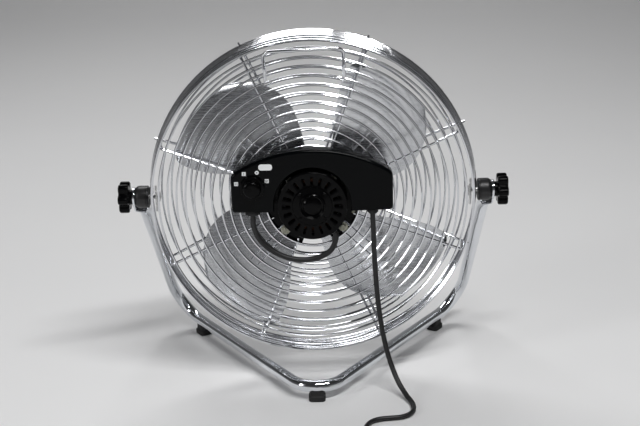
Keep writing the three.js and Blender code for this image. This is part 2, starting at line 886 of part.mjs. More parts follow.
function controlBoxBase() {
  const plate = plateBetween(
    boxOutline(boxWall + 3 * runningGap),
    boxFront - boxBaseThickness,
    boxFront,
  );
  const studEnd = boxFront + boxStandoff - runningGap;
  const studPlaces = [
    { radius: lastRingInBox(), angle: standoffWideAngle },
    { radius: faceRingRadius(1), angle: standoffHighAngle },
  ];
  const studs = studPlaces.flatMap(({ radius, angle }) =>
    [-1, 1].map((side) =>
      discAlongY(standoffRadius, boxFront - boxBaseThickness / 2, studEnd, 6)
        .translate(side * radius * Math.cos(angle), 0, radius * Math.sin(angle)),
    ),
  );
  return joined([plate, ...studs]);
}

function rotarySwitch() {
  const face = boxFace + boxWall + runningGap;
  const body = block(switchWidth, switchDepth, switchHeight).translate(0, face + switchDepth / 2, 0);
  const bush = discAlongY(switchBushRadius, boxFace - runningGap, face + overrun, 16);
  const shaft = discAlongY(switchShaftRadius, boxFace - switchShaftReach, face, 16);
  return joined([body, bush, shaft]).translate(knobAxisX, 0, knobAxisZ);
}

function runCapacitor() {
  const front = boxFront - boxBaseThickness - runningGap;
  const width = boxHalfWidth - boxArch - 2 * capacitorMargin;
  return block(width, capacitorDepth, capacitorHeight)
    .translate((boxHalfWidth + boxArch) / 2, front - capacitorDepth / 2, capacitorZ);
}

function speedKnob() {
  const base = boxFace - runningGap * 2;
  const top = base - knobHeight;
  const profile = [
    [0, top],
    [knobCapRadius - knobEdge, top],
    [knobCapRadius, top + knobEdge],
    [knobCapRadius, base - knobSkirtHeight],
    [knobSkirtRadius - knobEdge, base - knobSkirtHeight],
    [knobSkirtRadius, base - knobSkirtHeight + knobEdge],
    [knobSkirtRadius, base],
    [0, base],
  ];
  const pointer = block(knobPointerWidth, knobPointerHeight * 2, knobCapRadius - knobEdge)
    .translate(0, top, (knobCapRadius - knobEdge) / 2)
    .rotateY(Math.PI / 2 - knobRestAngle);
  const bore = discAlongY(
    switchShaftRadius + runningGap,
    boxFace - switchShaftReach - runningGap,
    base + overrun,
    16,
  );
  return cut(joined([latheAlongY(profile, 20), pointer]), [bore]);
}

// A bush in the underside of the box, open for its cable.
function boxGland(hole) {
  const top = boxBottom + boxWall + overrun;
  const collarTop = boxBottom - runningGap;
  const end = collarTop - glandLength;
  const outer = joined([
    discAlongZ(glandNeckRadius, end, top, 10),
    discAlongZ(glandRadius, end + glandLength / 4, collarTop, 10),
  ]);
  return cut(outer, [discAlongZ(hole, collarTop, top + overrun, 8)]);
}

const glandPlane = boxFront - glandSetback;
const glandEnd = boxBottom - runningGap - glandLength;

// Motor lead: the points of its route, chosen by hand, from the gland to the motor.
const leadEntryAngle = THREE.MathUtils.degToRad(-56);
const leadRoute = [
  [-62, -38, -22],
  [-57, -37, -37],
  [-45, -37, -50],
  [-25, -37, -60],
  [0, -37, -61],
  [18, -36, -52],
];

function tubeThrough(points, radius, sides, steps) {
  const curve = new THREE.CatmullRomCurve3(points, false, "centripetal");
  const circle = new THREE.Shape(
    roundSection(radius, sides).map(([a, b]) => new THREE.Vector2(a, b)),
  );
  return new THREE.ExtrudeGeometry(circle, { extrudePath: curve, steps, bevelEnabled: false });
}

function motorLead() {
  const reach = motorRadius + runningGap;
  const direction = new THREE.Vector3(Math.cos(leadEntryAngle), 0, Math.sin(leadEntryAngle));
  const entry = direction.clone().multiplyScalar(reach).setY(glandPlane + leadRadius);
  const before = direction.clone().multiplyScalar(reach + 2 * leadRadius).setY(glandPlane + leadRadius);
  const start = new THREE.Vector3(-glandX, glandPlane, glandEnd - runningGap);
  const below = start.clone().setZ(start.z - 2 * leadRadius);
  const points = [start, below, ...leadRoute.map((p) => new THREE.Vector3(...p)), before, entry];
  return tubeThrough(points, leadRadius, 8, 14);
}

// Pivots, made for the side of positive X and mirrored for the other

const spacerInner = frontRimRadius + rimWireRadius + runningGap;
const spacerOuter = spacerInner + spacerLength;
const lugInner = spacerOuter + runningGap;
const lugOuter = lugInner + lugThickness;
const clampHub = lugOuter + runningGap;
const clampRim = clampHub + clampHubLength;
const clampEnd = clampRim + clampKnobThickness;
const bracketOuter = bandRadiusAt(0) - ringWireRadius - bracketInset;
const bracketInner = bracketOuter - bracketThickness;

function pivotBracket() {
  const plate = block(bracketThickness, bracketWidth, bracketHeight)
    .translate(-bracketThickness / 2, frontRim - bracketWidth / 2 - rimWireRadius, 0)
    .rotateZ(-bandFlare)
    .translate(bracketOuter, 0, 0);
  const reach = 2 * overrun;
  const hole = discAlongX(boltRadius + runningGap, bracketInner - reach, bracketOuter + reach, 16);
  return cut(plate, [hole]);
}

function pivotBolt() {
  const headFront = bracketInner - boltHeadGap();
  const profile = [
    [0, headFront - boltHeadHeight],
    [boltHeadRadius * screwHeadTopShare, headFront - boltHeadHeight],
    [boltHeadRadius, headFront - boltHeadHeight * screwHeadSideShare],
    [boltHeadRadius, headFront],
    [boltRadius, headFront],
    [boltRadius, clampRim + clampBore - runningGap],
    [0, clampRim + clampBore - runningGap],
  ];
  return latheAlongY(profile, 12).rotateZ(-Math.PI / 2);
}

// The bracket leans with the band, so the bolt's flat head clears its corner.
function boltHeadGap() {
  return runningGap + boltHeadRadius * Math.tan(bandFlare);
}

function pivotSpacer() {
  const bore = boltRadius + runningGap;
  const profile = [
    [bore, spacerInner],
    [spacerRadius - spacerChamfer, spacerInner],
    [spacerRadius, spacerInner + spacerChamfer],
    [spacerRadius, spacerOuter - spacerChamfer],
    [spacerRadius - spacerChamfer, spacerOuter],
    [bore, spacerOuter],
    [bore, spacerInner],
  ];
  return latheAlongY(profile, 14).rotateZ(-Math.PI / 2);
}

function clampKnob() {
  const count = clampLobes * 4;
  const shape = new THREE.Shape(
    Array.from({ length: count }, (_, i) => {
      const angle = (i / count) * 2 * Math.PI;
      const radius = clampKnobRadius - clampKnobEdge + clampLobeHeight * Math.cos(clampLobes * angle);
      return new THREE.Vector2(radius * Math.cos(angle), radius * Math.sin(angle));
    }),
  );
  const star = new THREE.ExtrudeGeometry(shape, {
    depth: clampKnobThickness - 2 * clampKnobEdge,
    bevelEnabled: true,
    bevelThickness: clampKnobEdge,
    bevelSize: clampKnobEdge,
    bevelSegments: 1,
  })
    .rotateY(Math.PI / 2)
    .translate(clampRim + clampKnobEdge, 0, 0);
  const hub = discAlongX(clampHubRadius, clampHub, clampRim + overrun, 16);
  const bore = discAlongX(boltRadius + runningGap, clampHub - overrun, clampRim + clampBore, 12);
  return cut(joined([star, hub]), [bore]);
}

function mirrored(geometry) {
  return geometryOf(solidOf(geometry).mirror([1, 0, 0]));
}

// Stand

const armTopHalfSpan = (lugInner + lugOuter) / 2 - flatOffset;
const cornerHalfSpan = armTopHalfSpan - armLeanIn;
const armTop = new THREE.Vector3(armTopHalfSpan, 0, pivotHeight);
const corner = new THREE.Vector3(cornerHalfSpan, cornerReach, tubeAxisHeight);
const tip = new THREE.Vector3(0, -tipReach, tubeAxisHeight);

function squareSection(halfThickness, halfWidth, offset, power) {
  return roundSection(1, tubeSides).map(([c, s]) => [
    offset + halfThickness * Math.sign(c) * Math.pow(Math.abs(c), power),
    halfWidth * Math.sign(s) * Math.pow(Math.abs(s), power),
  ]);
}

// The sections of one arm's end: distance down the arm, half thickness, half width, offset, squareness.
function armEndSections() {
  const flat = lugThickness / 2;
  const shoulder = flatLength + shoulderLength;
  const side = tubeRadius - shoulderHalfThickness;
  // The lug stays upright while the arm leans in.
  const lean = (armTopHalfSpan - cornerHalfSpan) / armTop.distanceTo(corner);
  return [
    [0, flat, lugRadius, flatOffset, flatPower],
    [flatLength, flat, lugRadius, flatOffset + lean * flatLength, flatPower],
    [shoulder, shoulderHalfThickness, shoulderHalfWidth, side, shoulderPower],
    [shoulder + roundLength, tubeRadius, tubeRadius, 0, 1],
  ];
}

function standPath(extra) {
  const downArm = corner.clone().sub(armTop).normalize();
  const leftTop = armTop.clone().setX(-armTop.x);
  const leftCorner = corner.clone().setX(-corner.x);
  const leftDown = downArm.clone().setX(-downArm.x);
  const bends = filleted([armTop, corner, tip, leftCorner, leftTop], tubeBend, 4);
  const round = squareSection(tubeRadius + extra, tubeRadius + extra, 0, 1);
  const middle = bends.slice(1, -1).map((point) => ({ point, section: round }));
  const endOf = (start, down) =>
    armEndSections().map(([along, a, b, offset, power]) => ({
      point: start.clone().addScaledVector(down, along),
      section: squareSection(a + extra, b + extra, offset, power),
    }));
  return [...endOf(armTop, downArm), ...middle, ...endOf(leftTop, leftDown).reverse()];
}

// Outward is away from the middle of the fan, and swings smoothly through the rear tip.
function awayFromMiddle(point) {
  const inside = new THREE.Vector3(0, cornerReach / 4, point.z);
  return point.clone().sub(inside).normalize();
}

function standLoft(extra) {
  const path = standPath(extra);
  const points = path.map((step) => step.point);
  const outward = (point) => {
    if (point.z > tubeAxisHeight + tubeBend) return alongX.clone().multiplyScalar(Math.sign(point.x));
    return awayFromMiddle(point);
  };
  return loft(sectionsAlong(points, outward, (i) => path[i].section));
}

function standTube() {
  const lugs = [1, -1].map((side) => {
    const disc = discAlongX(lugRadius, lugInner, lugOuter, 16).translate(0, 0, pivotHeight);
    return side > 0 ? disc : mirrored(disc);
  });
  const holes = discAlongX(boltRadius + runningGap, -clampEnd, clampEnd, 16).translate(0, 0, pivotHeight);
  return cut(joined([standLoft(0), ...lugs]), [holes]);
}

function roundedRectangle(width, length, radius) {
  const shape = new THREE.Shape();
  const x = width / 2;
  const y = length / 2;
  shape.moveTo(-x + radius, -y);
  shape.lineTo(x - radius, -y);
  shape.absarc(x - radius, -y + radius, radius, -Math.PI / 2, 0, false);
  shape.absarc(x - radius, y - radius, radius, 0, Math.PI / 2, false);
  shape.absarc(-x + radius, y - radius, radius, Math.PI / 2, Math.PI, false);
  shape.absarc(-x + radius, -y + radius, radius, Math.PI, 1.5 * Math.PI, false);
  return shape;
}

function foot(place, angle) {
  const pad = new THREE.ExtrudeGeometry(roundedRectangle(footPadWidth, footPadLength, footCorner), {
    depth: footPadHeight,
    bevelEnabled: false,
    curveSegments: 1,
  });
  const saddle = new THREE.ExtrudeGeometry(roundedRectangle(footSaddleWidth, footSaddleLength, footCorner), {
    depth: footHeight - footPadHeight + overrun,
    bevelEnabled: false,
    curveSegments: 1,
  }).translate(0, 0, footPadHeight - overrun);
  const whole = joined([pad, saddle]).rotateZ(angle).translate(place.x, place.y, 0);
  return cut(whole, [standLoft(runningGap)]);
}

// Cord coil: two layers, in along the lower and out along the upper.

const coilOuterRadius = coilMiddleRadius + (coilPitch * coilLoopsPerLayer) / 2;
const coilCentre = new THREE.Vector2(coilCentreX, coilCentreY);
const coilStart = THREE.MathUtils.degToRad(150);

function coilPoints() {
  const turns = 2 * coilLoopsPerLayer;
  const climbTurns = 0.5;
  const total = turns + climbTurns;
  const count = Math.round(total * coilSteps);
  const points = [];
  for (let i = 0; i <= count; i++) {
    const turn = (total * i) / count;
    const climb = THREE.MathUtils.clamp((turn - coilLoopsPerLayer) / climbTurns, 0, 1);
    const inward = Math.min(turn, coilLoopsPerLayer);
    const outward = Math.max(turn - coilLoopsPerLayer - climbTurns, 0);
    const radius = coilOuterRadius - coilPitch * (inward - outward);
    const angle = coilStart + turn * 2 * Math.PI;
    points.push(
      new THREE.Vector3(
        coilCentre.x + radius * Math.cos(angle),
        coilCentre.y + radius * Math.sin(angle),
        cordRadius + coilLift * climb,
      ),
    );
  }
  const end = points[count];
  const onward = end.clone().sub(points[count - 1]).setZ(0).normalize();
  for (let i = 1; i <= coilLeadSteps; i++) {
    points.push(end.clone().addScaledVector(onward, (coilLeadOut * i) / coilLeadSteps));
  }
  return points;
}

// The least gap between turns, measured between points more than a quarter turn apart.
function leastCoilGap(points) {
  let least = Infinity;
  points.forEach((a, i) => {
    for (let j = i + coilSteps / 4; j < points.length; j++) {
      least = Math.min(least, a.distanceTo(points[j]));
    }
  });
  return least - 2 * cordRadius;
}

const coil = coilPoints();
console.log("least gap between the coil's turns: " + leastCoilGap(coil).toFixed(2) + " mm");

function cordCoil() {
  const section = roundSection(cordRadius, coilSides);
  return loft(sectionsAlong(coil, () => new THREE.Vector3(0, 0, 1), () => section));
}

// Power cord: the points of its route, chosen by hand, from the gland to the coil.
const cordRoute = [
  [62.4, -39.5, 172],
  [63, -40, 145],
  [64.5, -41.5, 115],
  [67, -45, 85],
  [71, -51, 58],
  [77, -60, 34],
  [85, -72, 15],
  [93, -86, 5.5],
  [98, -98, 2.9],
  [99, -110, 2.9],
  [97.3, -118.4, 2.9],
  [92.6, -125.6, 2.9],
  [85.4, -130.3, 2.9],
  [74, -132.2, 2.9],
  [62.6, -134.3, 2.9],
  [55.4, -139, 2.9],
  [50.7, -146.2, 2.9],
  [48.6, -156, 2.9],
  [47.2, -169, 2.9],
];

function powerCord() {
  const start = new THREE.Vector3(glandX, glandPlane, pivotHeight + glandEnd - runningGap);
  const below = start.clone().setZ(start.z - 2 * cordRadius);
  const direction = coil[0].clone().sub(coil[1]).normalize();
  const end = coil[0].clone().addScaledVector(direction, runningGap);
  const before = end.clone().addScaledVector(direction, 4 * cordRadius);
  const points = [start, below, ...cordRoute.map((p) => new THREE.Vector3(...p)), before, end];
  return tubeThrough(points, cordRadius, 8, 26);
}

function plugPlace() {
  const end = coil[coil.length - 1];
  const direction = end.clone().sub(coil[coil.length - 2]).setZ(0).normalize();
  const start = end.clone().addScaledVector(direction, runningGap);
  return { start, angle: Math.atan2(direction.y, direction.x) };
}

function placedOnPlug(geometry) {
  const { start, angle } = plugPlace();
  return geometry.rotateZ(angle).translate(start.x, start.y, start.z);
}

function plugBladeBlock(length, height, thickness) {
  return [-1, 1].map((side) =>
    block(length, thickness, height).translate(
      plugLength - plugBladeSeat + length / 2,
      (side * plugBladeSpacing) / 2,
      0,
    ),
  );
}

function plugBody() {
  const shares = [plugNeckShare / 2, 0.5, 0.5];
  const places = [0, plugLength * (1 - plugTaperShare), plugLength];
  const rings = places.map((along, i) => {
    const y = plugWidth * shares[i];
    const z = plugHeight * shares[i];
    return [
      new THREE.Vector3(along, -y, -z),
      new THREE.Vector3(along, y, -z),
      new THREE.Vector3(along, y, z),
      new THREE.Vector3(along, -y, z),
    ];
  });
  const gap = 2 * runningGap;
  const slots = plugBladeBlock(plugBladeLength + gap, plugBladeHeight + gap, plugBladeThickness + gap);
  return placedOnPlug(cut(loft(rings), slots.map((slot) => slot.translate(-gap / 2, 0, 0))));
}

function plugBlade(i) {
  return placedOnPlug(plugBladeBlock(plugBladeLength, plugBladeHeight, plugBladeThickness)[i]);
}

// Assembly

function piece(name, geometry, finish) {
  const mesh = new THREE.Mesh(geometry, new THREE.MeshStandardMaterial(finish));
  mesh.name = name;
  return mesh;
}

const fan = new THREE.Group();
const stand = new THREE.Group();
const head = new THREE.Group();
const guard = new THREE.Group();
const cord = new THREE.Group();
head.position.z = pivotHeight;
guard.rotation.y = -guardTurn;
head.add(guard);
fan.add(stand, head, cord);

const tipFootPlace = new THREE.Vector2(0, tubeTipAxis());
const alongV = tip.clone().sub(corner).normalize();
const bendReach = tubeBend * Math.tan(corner.clone().sub(armTop).angleTo(alongV) / 2);
const sideFootPlace = corner.clone().addScaledVector(alongV, bendReach + footSetIn);
const sideFootAngle = Math.atan2(alongV.y, alongV.x) + Math.PI / 2;

function tubeTipAxis() {
  const half = Math.atan2(cornerHalfSpan, cornerReach + tipReach);
  return -tipReach + tubeBend * (1 / Math.sin(half) - 1);
}

stand.add(piece("stand_tube", standTube(), chrome));
stand.add(piece("foot_rear", foot(tipFootPlace, Math.PI / 2), rubber));
stand.add(piece("foot_right", foot(sideFootPlace, sideFootAngle), rubber));
stand.add(piece("foot_left", mirrored(foot(sideFootPlace, sideFootAngle)), rubber));

guard.add(piece("rear_guard", rearGuard(), chrome));
guard.add(piece("front_guard", frontGuard(), chrome));
guard.add(piece("carry_handle", carryHandle(), chrome));
guard.add(piece("mount_plate", mountPlate(), blackPaint));
for (let i = 0; i < hairpinCount; i++) {
  const angle = Math.PI / hairpinCount + (i * 2 * Math.PI) / hairpinCount;
  const screw = mountScrew().translate(screwCircleRadius, 0, 0);
  guard.add(piece("mount_screw_" + (i + 1), turned(screw, angle), steel));
}

head.add(piece("motor_rear_cover", motorRearCover(), blackGloss));
head.add(piece("motor_front_cover", motorFrontCover(), blackPaint));
head.add(piece("stator_core", statorCore(), steel));
head.add(piece("stator_winding", statorWinding(), copper));
head.add(piece("bearing_rear", bearing(coverFaceInside + runningGap), bronze));
head.add(piece("bearing_front", bearing(frontCoverFace - motorWall - bearingLength), bronze));
head.add(piece("control_box_cover", controlBoxCover(), blackGloss));
head.add(piece("control_box_base", controlBoxBase(), blackSatin));
head.add(piece("rotary_switch", rotarySwitch(), blackSatin));
head.add(piece("run_capacitor", runCapacitor(), blackSatin));
head.add(piece("lead_gland", boxGland(leadRadius).translate(-glandX, glandPlane, 0), rubber));
head.add(piece("cord_gland", boxGland(cordRadius).translate(glandX, glandPlane, 0), rubber));
head.add(piece("motor_lead", motorLead(), blackSatin));

const knob = piece("speed_knob", speedKnob(), blackGloss);
knob.position.set(knobAxisX, 0, knobAxisZ);
head.add(knob);

head.add(piece("motor_shaft", motorShaft(), steel));
head.add(piece("rotor_core", rotorCore(), steel));
head.add(piece("blade_hub", bladeHub(), steel));
head.add(piece("fan_blade", fanBlade(), aluminium));
head.add(piece("blade_nut", bladeNut(), blackSatin));

const pivotPieces = [
  ["pivot_bracket", pivotBracket, steel],
  ["pivot_bolt", pivotBolt, steel],
  ["pivot_spacer", pivotSpacer, blackSatin],
  ["clamp_knob", clampKnob, blackGloss],
];
for (const [name, make, finish] of pivotPieces) {
  head.add(piece(name + "_right", make(), finish));
  head.add(piece(name + "_left", mirrored(make()), finish));
}

cord.add(piece("power_cord", powerCord(), blackSatin));
cord.add(piece("cord_coil", cordCoil(), blackSatin));
cord.add(piece("plug_body", plugBody(), blackSatin));
cord.add(piece("plug_blade_1", plugBlade(0), brass));
cord.add(piece("plug_blade_2", plugBlade(1), brass));

// The pivots stand behind the middle of the stand, so that the box of the fan is centred.
const box = new THREE.Box3().setFromObject(stand, true).union(new THREE.Box3().setFromObject(head, true));
const part = new THREE.Group();
part.add(fan);
fan.position.y = -(box.min.y + box.max.y) / 2;

export default part;
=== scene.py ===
"""Desk fan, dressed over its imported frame. Sizes are in millimetres about the tilt axis unless a name says metres."""

import math

import bmesh
import bpy
import numpy as np
from mathutils import Matrix, Vector


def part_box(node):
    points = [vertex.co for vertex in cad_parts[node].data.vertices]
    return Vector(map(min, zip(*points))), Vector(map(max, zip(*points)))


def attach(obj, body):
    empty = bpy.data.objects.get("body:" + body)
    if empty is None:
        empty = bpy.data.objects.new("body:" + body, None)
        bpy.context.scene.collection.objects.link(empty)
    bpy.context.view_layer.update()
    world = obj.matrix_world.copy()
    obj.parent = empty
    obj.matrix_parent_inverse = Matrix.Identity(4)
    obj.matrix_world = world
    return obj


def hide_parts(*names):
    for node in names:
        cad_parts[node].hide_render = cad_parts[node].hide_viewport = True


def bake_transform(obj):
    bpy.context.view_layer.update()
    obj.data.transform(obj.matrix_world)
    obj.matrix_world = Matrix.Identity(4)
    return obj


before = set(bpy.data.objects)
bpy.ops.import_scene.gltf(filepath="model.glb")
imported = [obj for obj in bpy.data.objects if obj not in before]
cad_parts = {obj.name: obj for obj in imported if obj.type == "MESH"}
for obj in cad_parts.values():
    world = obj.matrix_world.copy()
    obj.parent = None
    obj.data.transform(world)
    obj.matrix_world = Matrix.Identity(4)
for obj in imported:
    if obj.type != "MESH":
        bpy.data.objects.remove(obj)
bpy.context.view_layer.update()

MM = 0.001
TAU = 2 * math.pi

# Where the tilt axis lies in the frame
bolt_low, bolt_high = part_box("pivot_bolt_right")
PIVOT = np.array([0.0, (bolt_low[1] + bolt_high[1]) / 2, (bolt_low[2] + bolt_high[2]) / 2]) / MM
FLOOR = -PIVOT[2]

# Guard
REAR_FACE = -27.0
FRONT_RIM = 4.0
REAR_RIM_RADIUS = 167.5
FRONT_RIM_RADIUS = 172.1
RING_WIRE = 1.1
RIM_WIRE = 1.4
SPOKE_WIRE = 1.5
GUARD_TURN = math.radians(1.9)
FACE_RINGS = np.linspace(48.9, 160.4, 13)
BAND_RINGS = [(-18.9, -18.9), (-11.6, -16.4), (-9.1, -14.1), (-6.6, -11.8), (-4.1, -9.4), (-1.6, -7.1), (0.9, -4.8)]
FRONT_GUARD_RIM = 9.4
DOME_HEIGHT = 33.0
DOME_POWER = 1.4

# Motor and box
PLATE_REAR = -23.3
PLATE_FRONT = -20.8
COVER_OPEN = -23.6
COVER_FACE = -48.6
BOX_FRONT = -31.5
BOX_FACE = -47.0
BOX_BOTTOM = -6.5
BOX_HALF = 83.0
BOX_PEAK = 59.0
BOX_SHOULDER = 34.0
BOX_CORNER = 5.0
BOX_ARCH = 40.0
KNOB_X = -61.0
KNOB_Z = 20.6
GLAND_X = 62.0
GLAND_PLANE = -39.5

# Pivots
LUG_INNER = 188.8
LUG_OUTER = 191.3


def place(points):
    """Points in millimetres about the tilt axis, put into the frame in metres."""
    return (np.asarray(points, float) + PIVOT) * MM


# Surfaces


class Shells:
    """Closed surfaces gathered into one mesh, each a grid of points."""

    def __init__(self):
        self.points = []
        self.faces = []
        self.count = 0

    def grid(self, points, around=True, along=False, ends=True):
        """A grid of rows by columns. around joins the last column to the first, along the last row to
        the first, and ends closes the first and the last row with one flat face each."""
        rows, columns = points.shape[:2]
        index = np.arange(rows * columns).reshape(rows, columns)
        if around:
            index = np.concatenate([index, index[:, :1]], axis=1)
        if along:
            index = np.concatenate([index, index[:1]], axis=0)
        quads = np.stack([index[:-1, :-1], index[:-1, 1:], index[1:, 1:], index[1:, :-1]], axis=-1)
        self.faces += (quads.reshape(-1, 4) + self.count).tolist()
        if ends and not along:
            self.faces.append((index[0, :columns][::-1] + self.count).tolist())
            self.faces.append((index[-1, :columns] + self.count).tolist())
        self.points.append(points.reshape(-1, 3))
        self.count += rows * columns
        return self

    def all_points(self):
        return np.concatenate(self.points)


def piece(name, shells, material, body, stands_for=(), crease=35, merge=True):
    """One object from its shells, smooth but for edges that turn more than crease degrees. Without a body it rides on
    none."""
    mesh = bpy.data.meshes.new(name)
    mesh.from_pydata(place(shells.all_points()).tolist(), [], shells.faces)
    made = bmesh.new()
    made.from_mesh(mesh)
    if merge:
        bmesh.ops.remove_doubles(made, verts=made.verts, dist=1e-7)
        bmesh.ops.dissolve_degenerate(made, edges=made.edges, dist=1e-8)
        bmesh.ops.recalc_face_normals(made, faces=made.faces)
    made.to_mesh(mesh)
    made.free()
    mesh.shade_smooth()
    mesh.set_sharp_from_angle(angle=math.radians(crease))
    mesh.materials.append(material)
    made_object = bpy.data.objects.new(name, mesh)
    bpy.context.scene.collection.objects.link(made_object)
    if body:
        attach(made_object, body)
    if stands_for:
        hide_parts(*stands_for)
    return made_object


def circle(radius, sides, turn=0.0):
    """Points at even angles on a circle of that radius, as rows of two numbers."""
    angle = np.arange(sides) / sides * TAU + turn
    return radius * np.stack([np.cos(angle), np.sin(angle)], axis=-1)


def rounded(corners, radius, steps=4, closed=False):
    """A polyline whose corners are arcs: each corner is cut back by the arc's reach and the cut is
    bridged by a quadratic curve through it. radius is one value, or one for each corner."""
    corners = np.asarray(corners, float)
    count = len(corners)
    radii = np.broadcast_to(np.asarray(radius, float), (count,))
    before = np.roll(corners, 1, axis=0) - corners
    after = np.roll(corners, -1, axis=0) - corners
    size_before = np.linalg.norm(before, axis=1, keepdims=True)
    size_after = np.linalg.norm(after, axis=1, keepdims=True)
    reach = np.minimum(radii[:, None], np.minimum(size_before, size_after) * 0.49)
    start = corners + before / size_before * reach
    end = corners + after / size_after * reach
    t = np.linspace(0, 1, steps + 1)[None, :, None]
    arcs = (1 - t) ** 2 * start[:, None] + 2 * t * (1 - t) * corners[:, None] + t**2 * end[:, None]
    if closed:
        return arcs.reshape(-1, corners.shape[1])
    inner = arcs[1:-1].reshape(-1, corners.shape[1])
    return np.concatenate([corners[:1], inner, corners[-1:]])


def revolved(profile, sides=64, axis="y", centre=(0, 0, 0), turn=0.0):
    """A profile of radius and height pairs carried round an axis: x and z are radius times the
    cosine and the sine of the angle. A ring profile closes on itself, another ends on the axis."""
    profile = np.asarray(profile, float)
    angle = np.arange(sides) / sides * TAU + turn
    cosine = profile[:, :1] * np.cos(angle)
    sine = profile[:, :1] * np.sin(angle)
    height = np.repeat(profile[:, 1:2], sides, axis=1)
    order = {"y": (cosine, height, sine), "x": (height, cosine, sine), "z": (cosine, sine, height)}
    return np.stack(order[axis], axis=-1) + np.asarray(centre, float)


def carried_frames(path, up=None):
    """Unit tangents of a path and two directions square to them. With up they follow that
    direction; without it they turn as little as they can from point to point."""
    tangent = np.gradient(path, axis=0)
    tangent /= np.linalg.norm(tangent, axis=1, keepdims=True)
    if up is not None:
        side = np.asarray(up, float) - tangent * (tangent @ np.asarray(up, float))[:, None]
        side /= np.linalg.norm(side, axis=1, keepdims=True)
    else:
        start = np.cross(tangent[0], [0.31, 0.95, 0.05])
        row = [start / np.linalg.norm(start)]
        for step in tangent[1:]:
            turned = row[-1] - step * (row[-1] @ step)
            row.append(turned / np.linalg.norm(turned))
        side = np.array(row)
    return tangent, side, np.cross(tangent, side)


def swept(path, section, up=None):
    """A section carried along a path: point = path + side * a + other * b for each a, b of the
    section. The section is one outline, or one for each point of the path."""
    tangent, side, other = carried_frames(np.asarray(path, float), up)
    section = np.asarray(section, float)
    if section.ndim == 2:
        section = np.repeat(section[None], len(path), axis=0)
    return path[:, None] + side[:, None] * section[..., :1] + other[:, None] * section[..., 1:2]


def wire(path, radius, sides=10, up=None):
    """A round wire whose two ends are drawn in like a cut and tumbled end."""
    path = np.asarray(path, float)
    grid = swept(path, circle(1, sides), up)
    centre = path[:, None]
    size = np.full(len(path), radius)
    size[0] *= 0.7
    size[-1] *= 0.7
    return centre + (grid - centre) * size[:, None, None]


def run_along(path):
    """The distance from the path's start to each of its points."""
    return np.concatenate([[0], np.cumsum(np.linalg.norm(np.diff(path, axis=0), axis=1))])


def resampled(path, count):
    """The same polyline with that many points, evenly spaced along it."""
    path = np.asarray(path, float)
    run = run_along(path)
    at = np.linspace(0, run[-1], count)
    return np.stack([np.interp(at, run, path[:, i]) for i in range(path.shape[1])], axis=-1)


def evenly(path, step):
    """The same polyline with points about a step apart."""
    length = run_along(np.asarray(path, float))[-1]
    return resampled(path, max(2, int(round(length / step)) + 1))


def bend(start, corner, end, steps=8):
    """A quadratic curve from start to end that leaves and arrives along the lines to the corner."""
    t = np.linspace(0, 1, steps + 1)[:, None]
    start, corner, end = (np.asarray(p, float) for p in (start, corner, end))
    return (1 - t) ** 2 * start + 2 * t * (1 - t) * corner + t**2 * end


def inset(shape, amount):
    """A closed outline drawn in: each point moves square to the line between its neighbours."""
    along = np.roll(shape, -1, axis=0) - np.roll(shape, 1, axis=0)
    along /= np.linalg.norm(along, axis=1, keepdims=True)
    return shape + np.column_stack([-along[:, 1], along[:, 0]]) * np.reshape(amount, (-1, 1))


def stacked(rows):
    """Outlines in X and Z, each at its own depth or depths along Y, as one grid."""
    grid = []
    for shape, depth in rows:
        grid.append(np.column_stack([shape[:, 0], np.broadcast_to(depth, len(shape)), shape[:, 1]]))
    return np.array(grid)


def box_outline(width, height, corner, steps=5):
    """A rectangle about the origin with round corners, counter-clockwise."""
    a, b = width / 2, height / 2
    return rounded([(a, -b), (a, b), (-a, b), (-a, -b)], corner, steps, closed=True)


def moved(points, x=0.0, y=0.0, z=0.0):
    return points + np.array([x, y, z])


def lying(points):
    """The grid with the fan's axis swapped for X."""
    return points[..., [1, 0, 2]]


def turned(points, angle):
    """Points turned about the fan's own axis, from X towards Z."""
    c, s = math.cos(angle), math.sin(angle)
    x, y, z = points[..., 0], points[..., 1], points[..., 2]
    return np.stack([x * c - z * s, y, x * s + z * c], axis=-1)


def mirrored(points):
    """The same grid on the other side, its columns reversed so that it still faces outwards."""
    return points[:, ::-1] * np.array([-1.0, 1.0, 1.0])


# Materials


class Value:
    """One socket of a material, with the sums that are used written as Python sums."""

    def __init__(self, paint, socket):
        self.paint = paint
        self.socket = socket

    def _math(self, operation, other, swap=False):
        pair = (other, self) if swap else (self, other)
        return self.paint.node("ShaderNodeMath", {"operation": operation}, {0: pair[0], 1: pair[1]})

    def __add__(self, other):
        return self._math("ADD", other)

    __radd__ = __add__

    def __mul__(self, other):
        return self._math("MULTIPLY", other)

    __rmul__ = __mul__

    def __sub__(self, other):
        return self._math("SUBTRACT", other)

    def __rsub__(self, other):
        return self._math("SUBTRACT", other, swap=True)

    def over(self, low, high):
        """0 below low, 1 above high, and smooth between."""
        sockets = {"Value": self, "From Min": low, "From Max": high, "To Min": 0.0, "To Max": 1.0}
        return self.paint.node("ShaderNodeMapRange", {"interpolation_type": "SMOOTHSTEP"}, sockets)


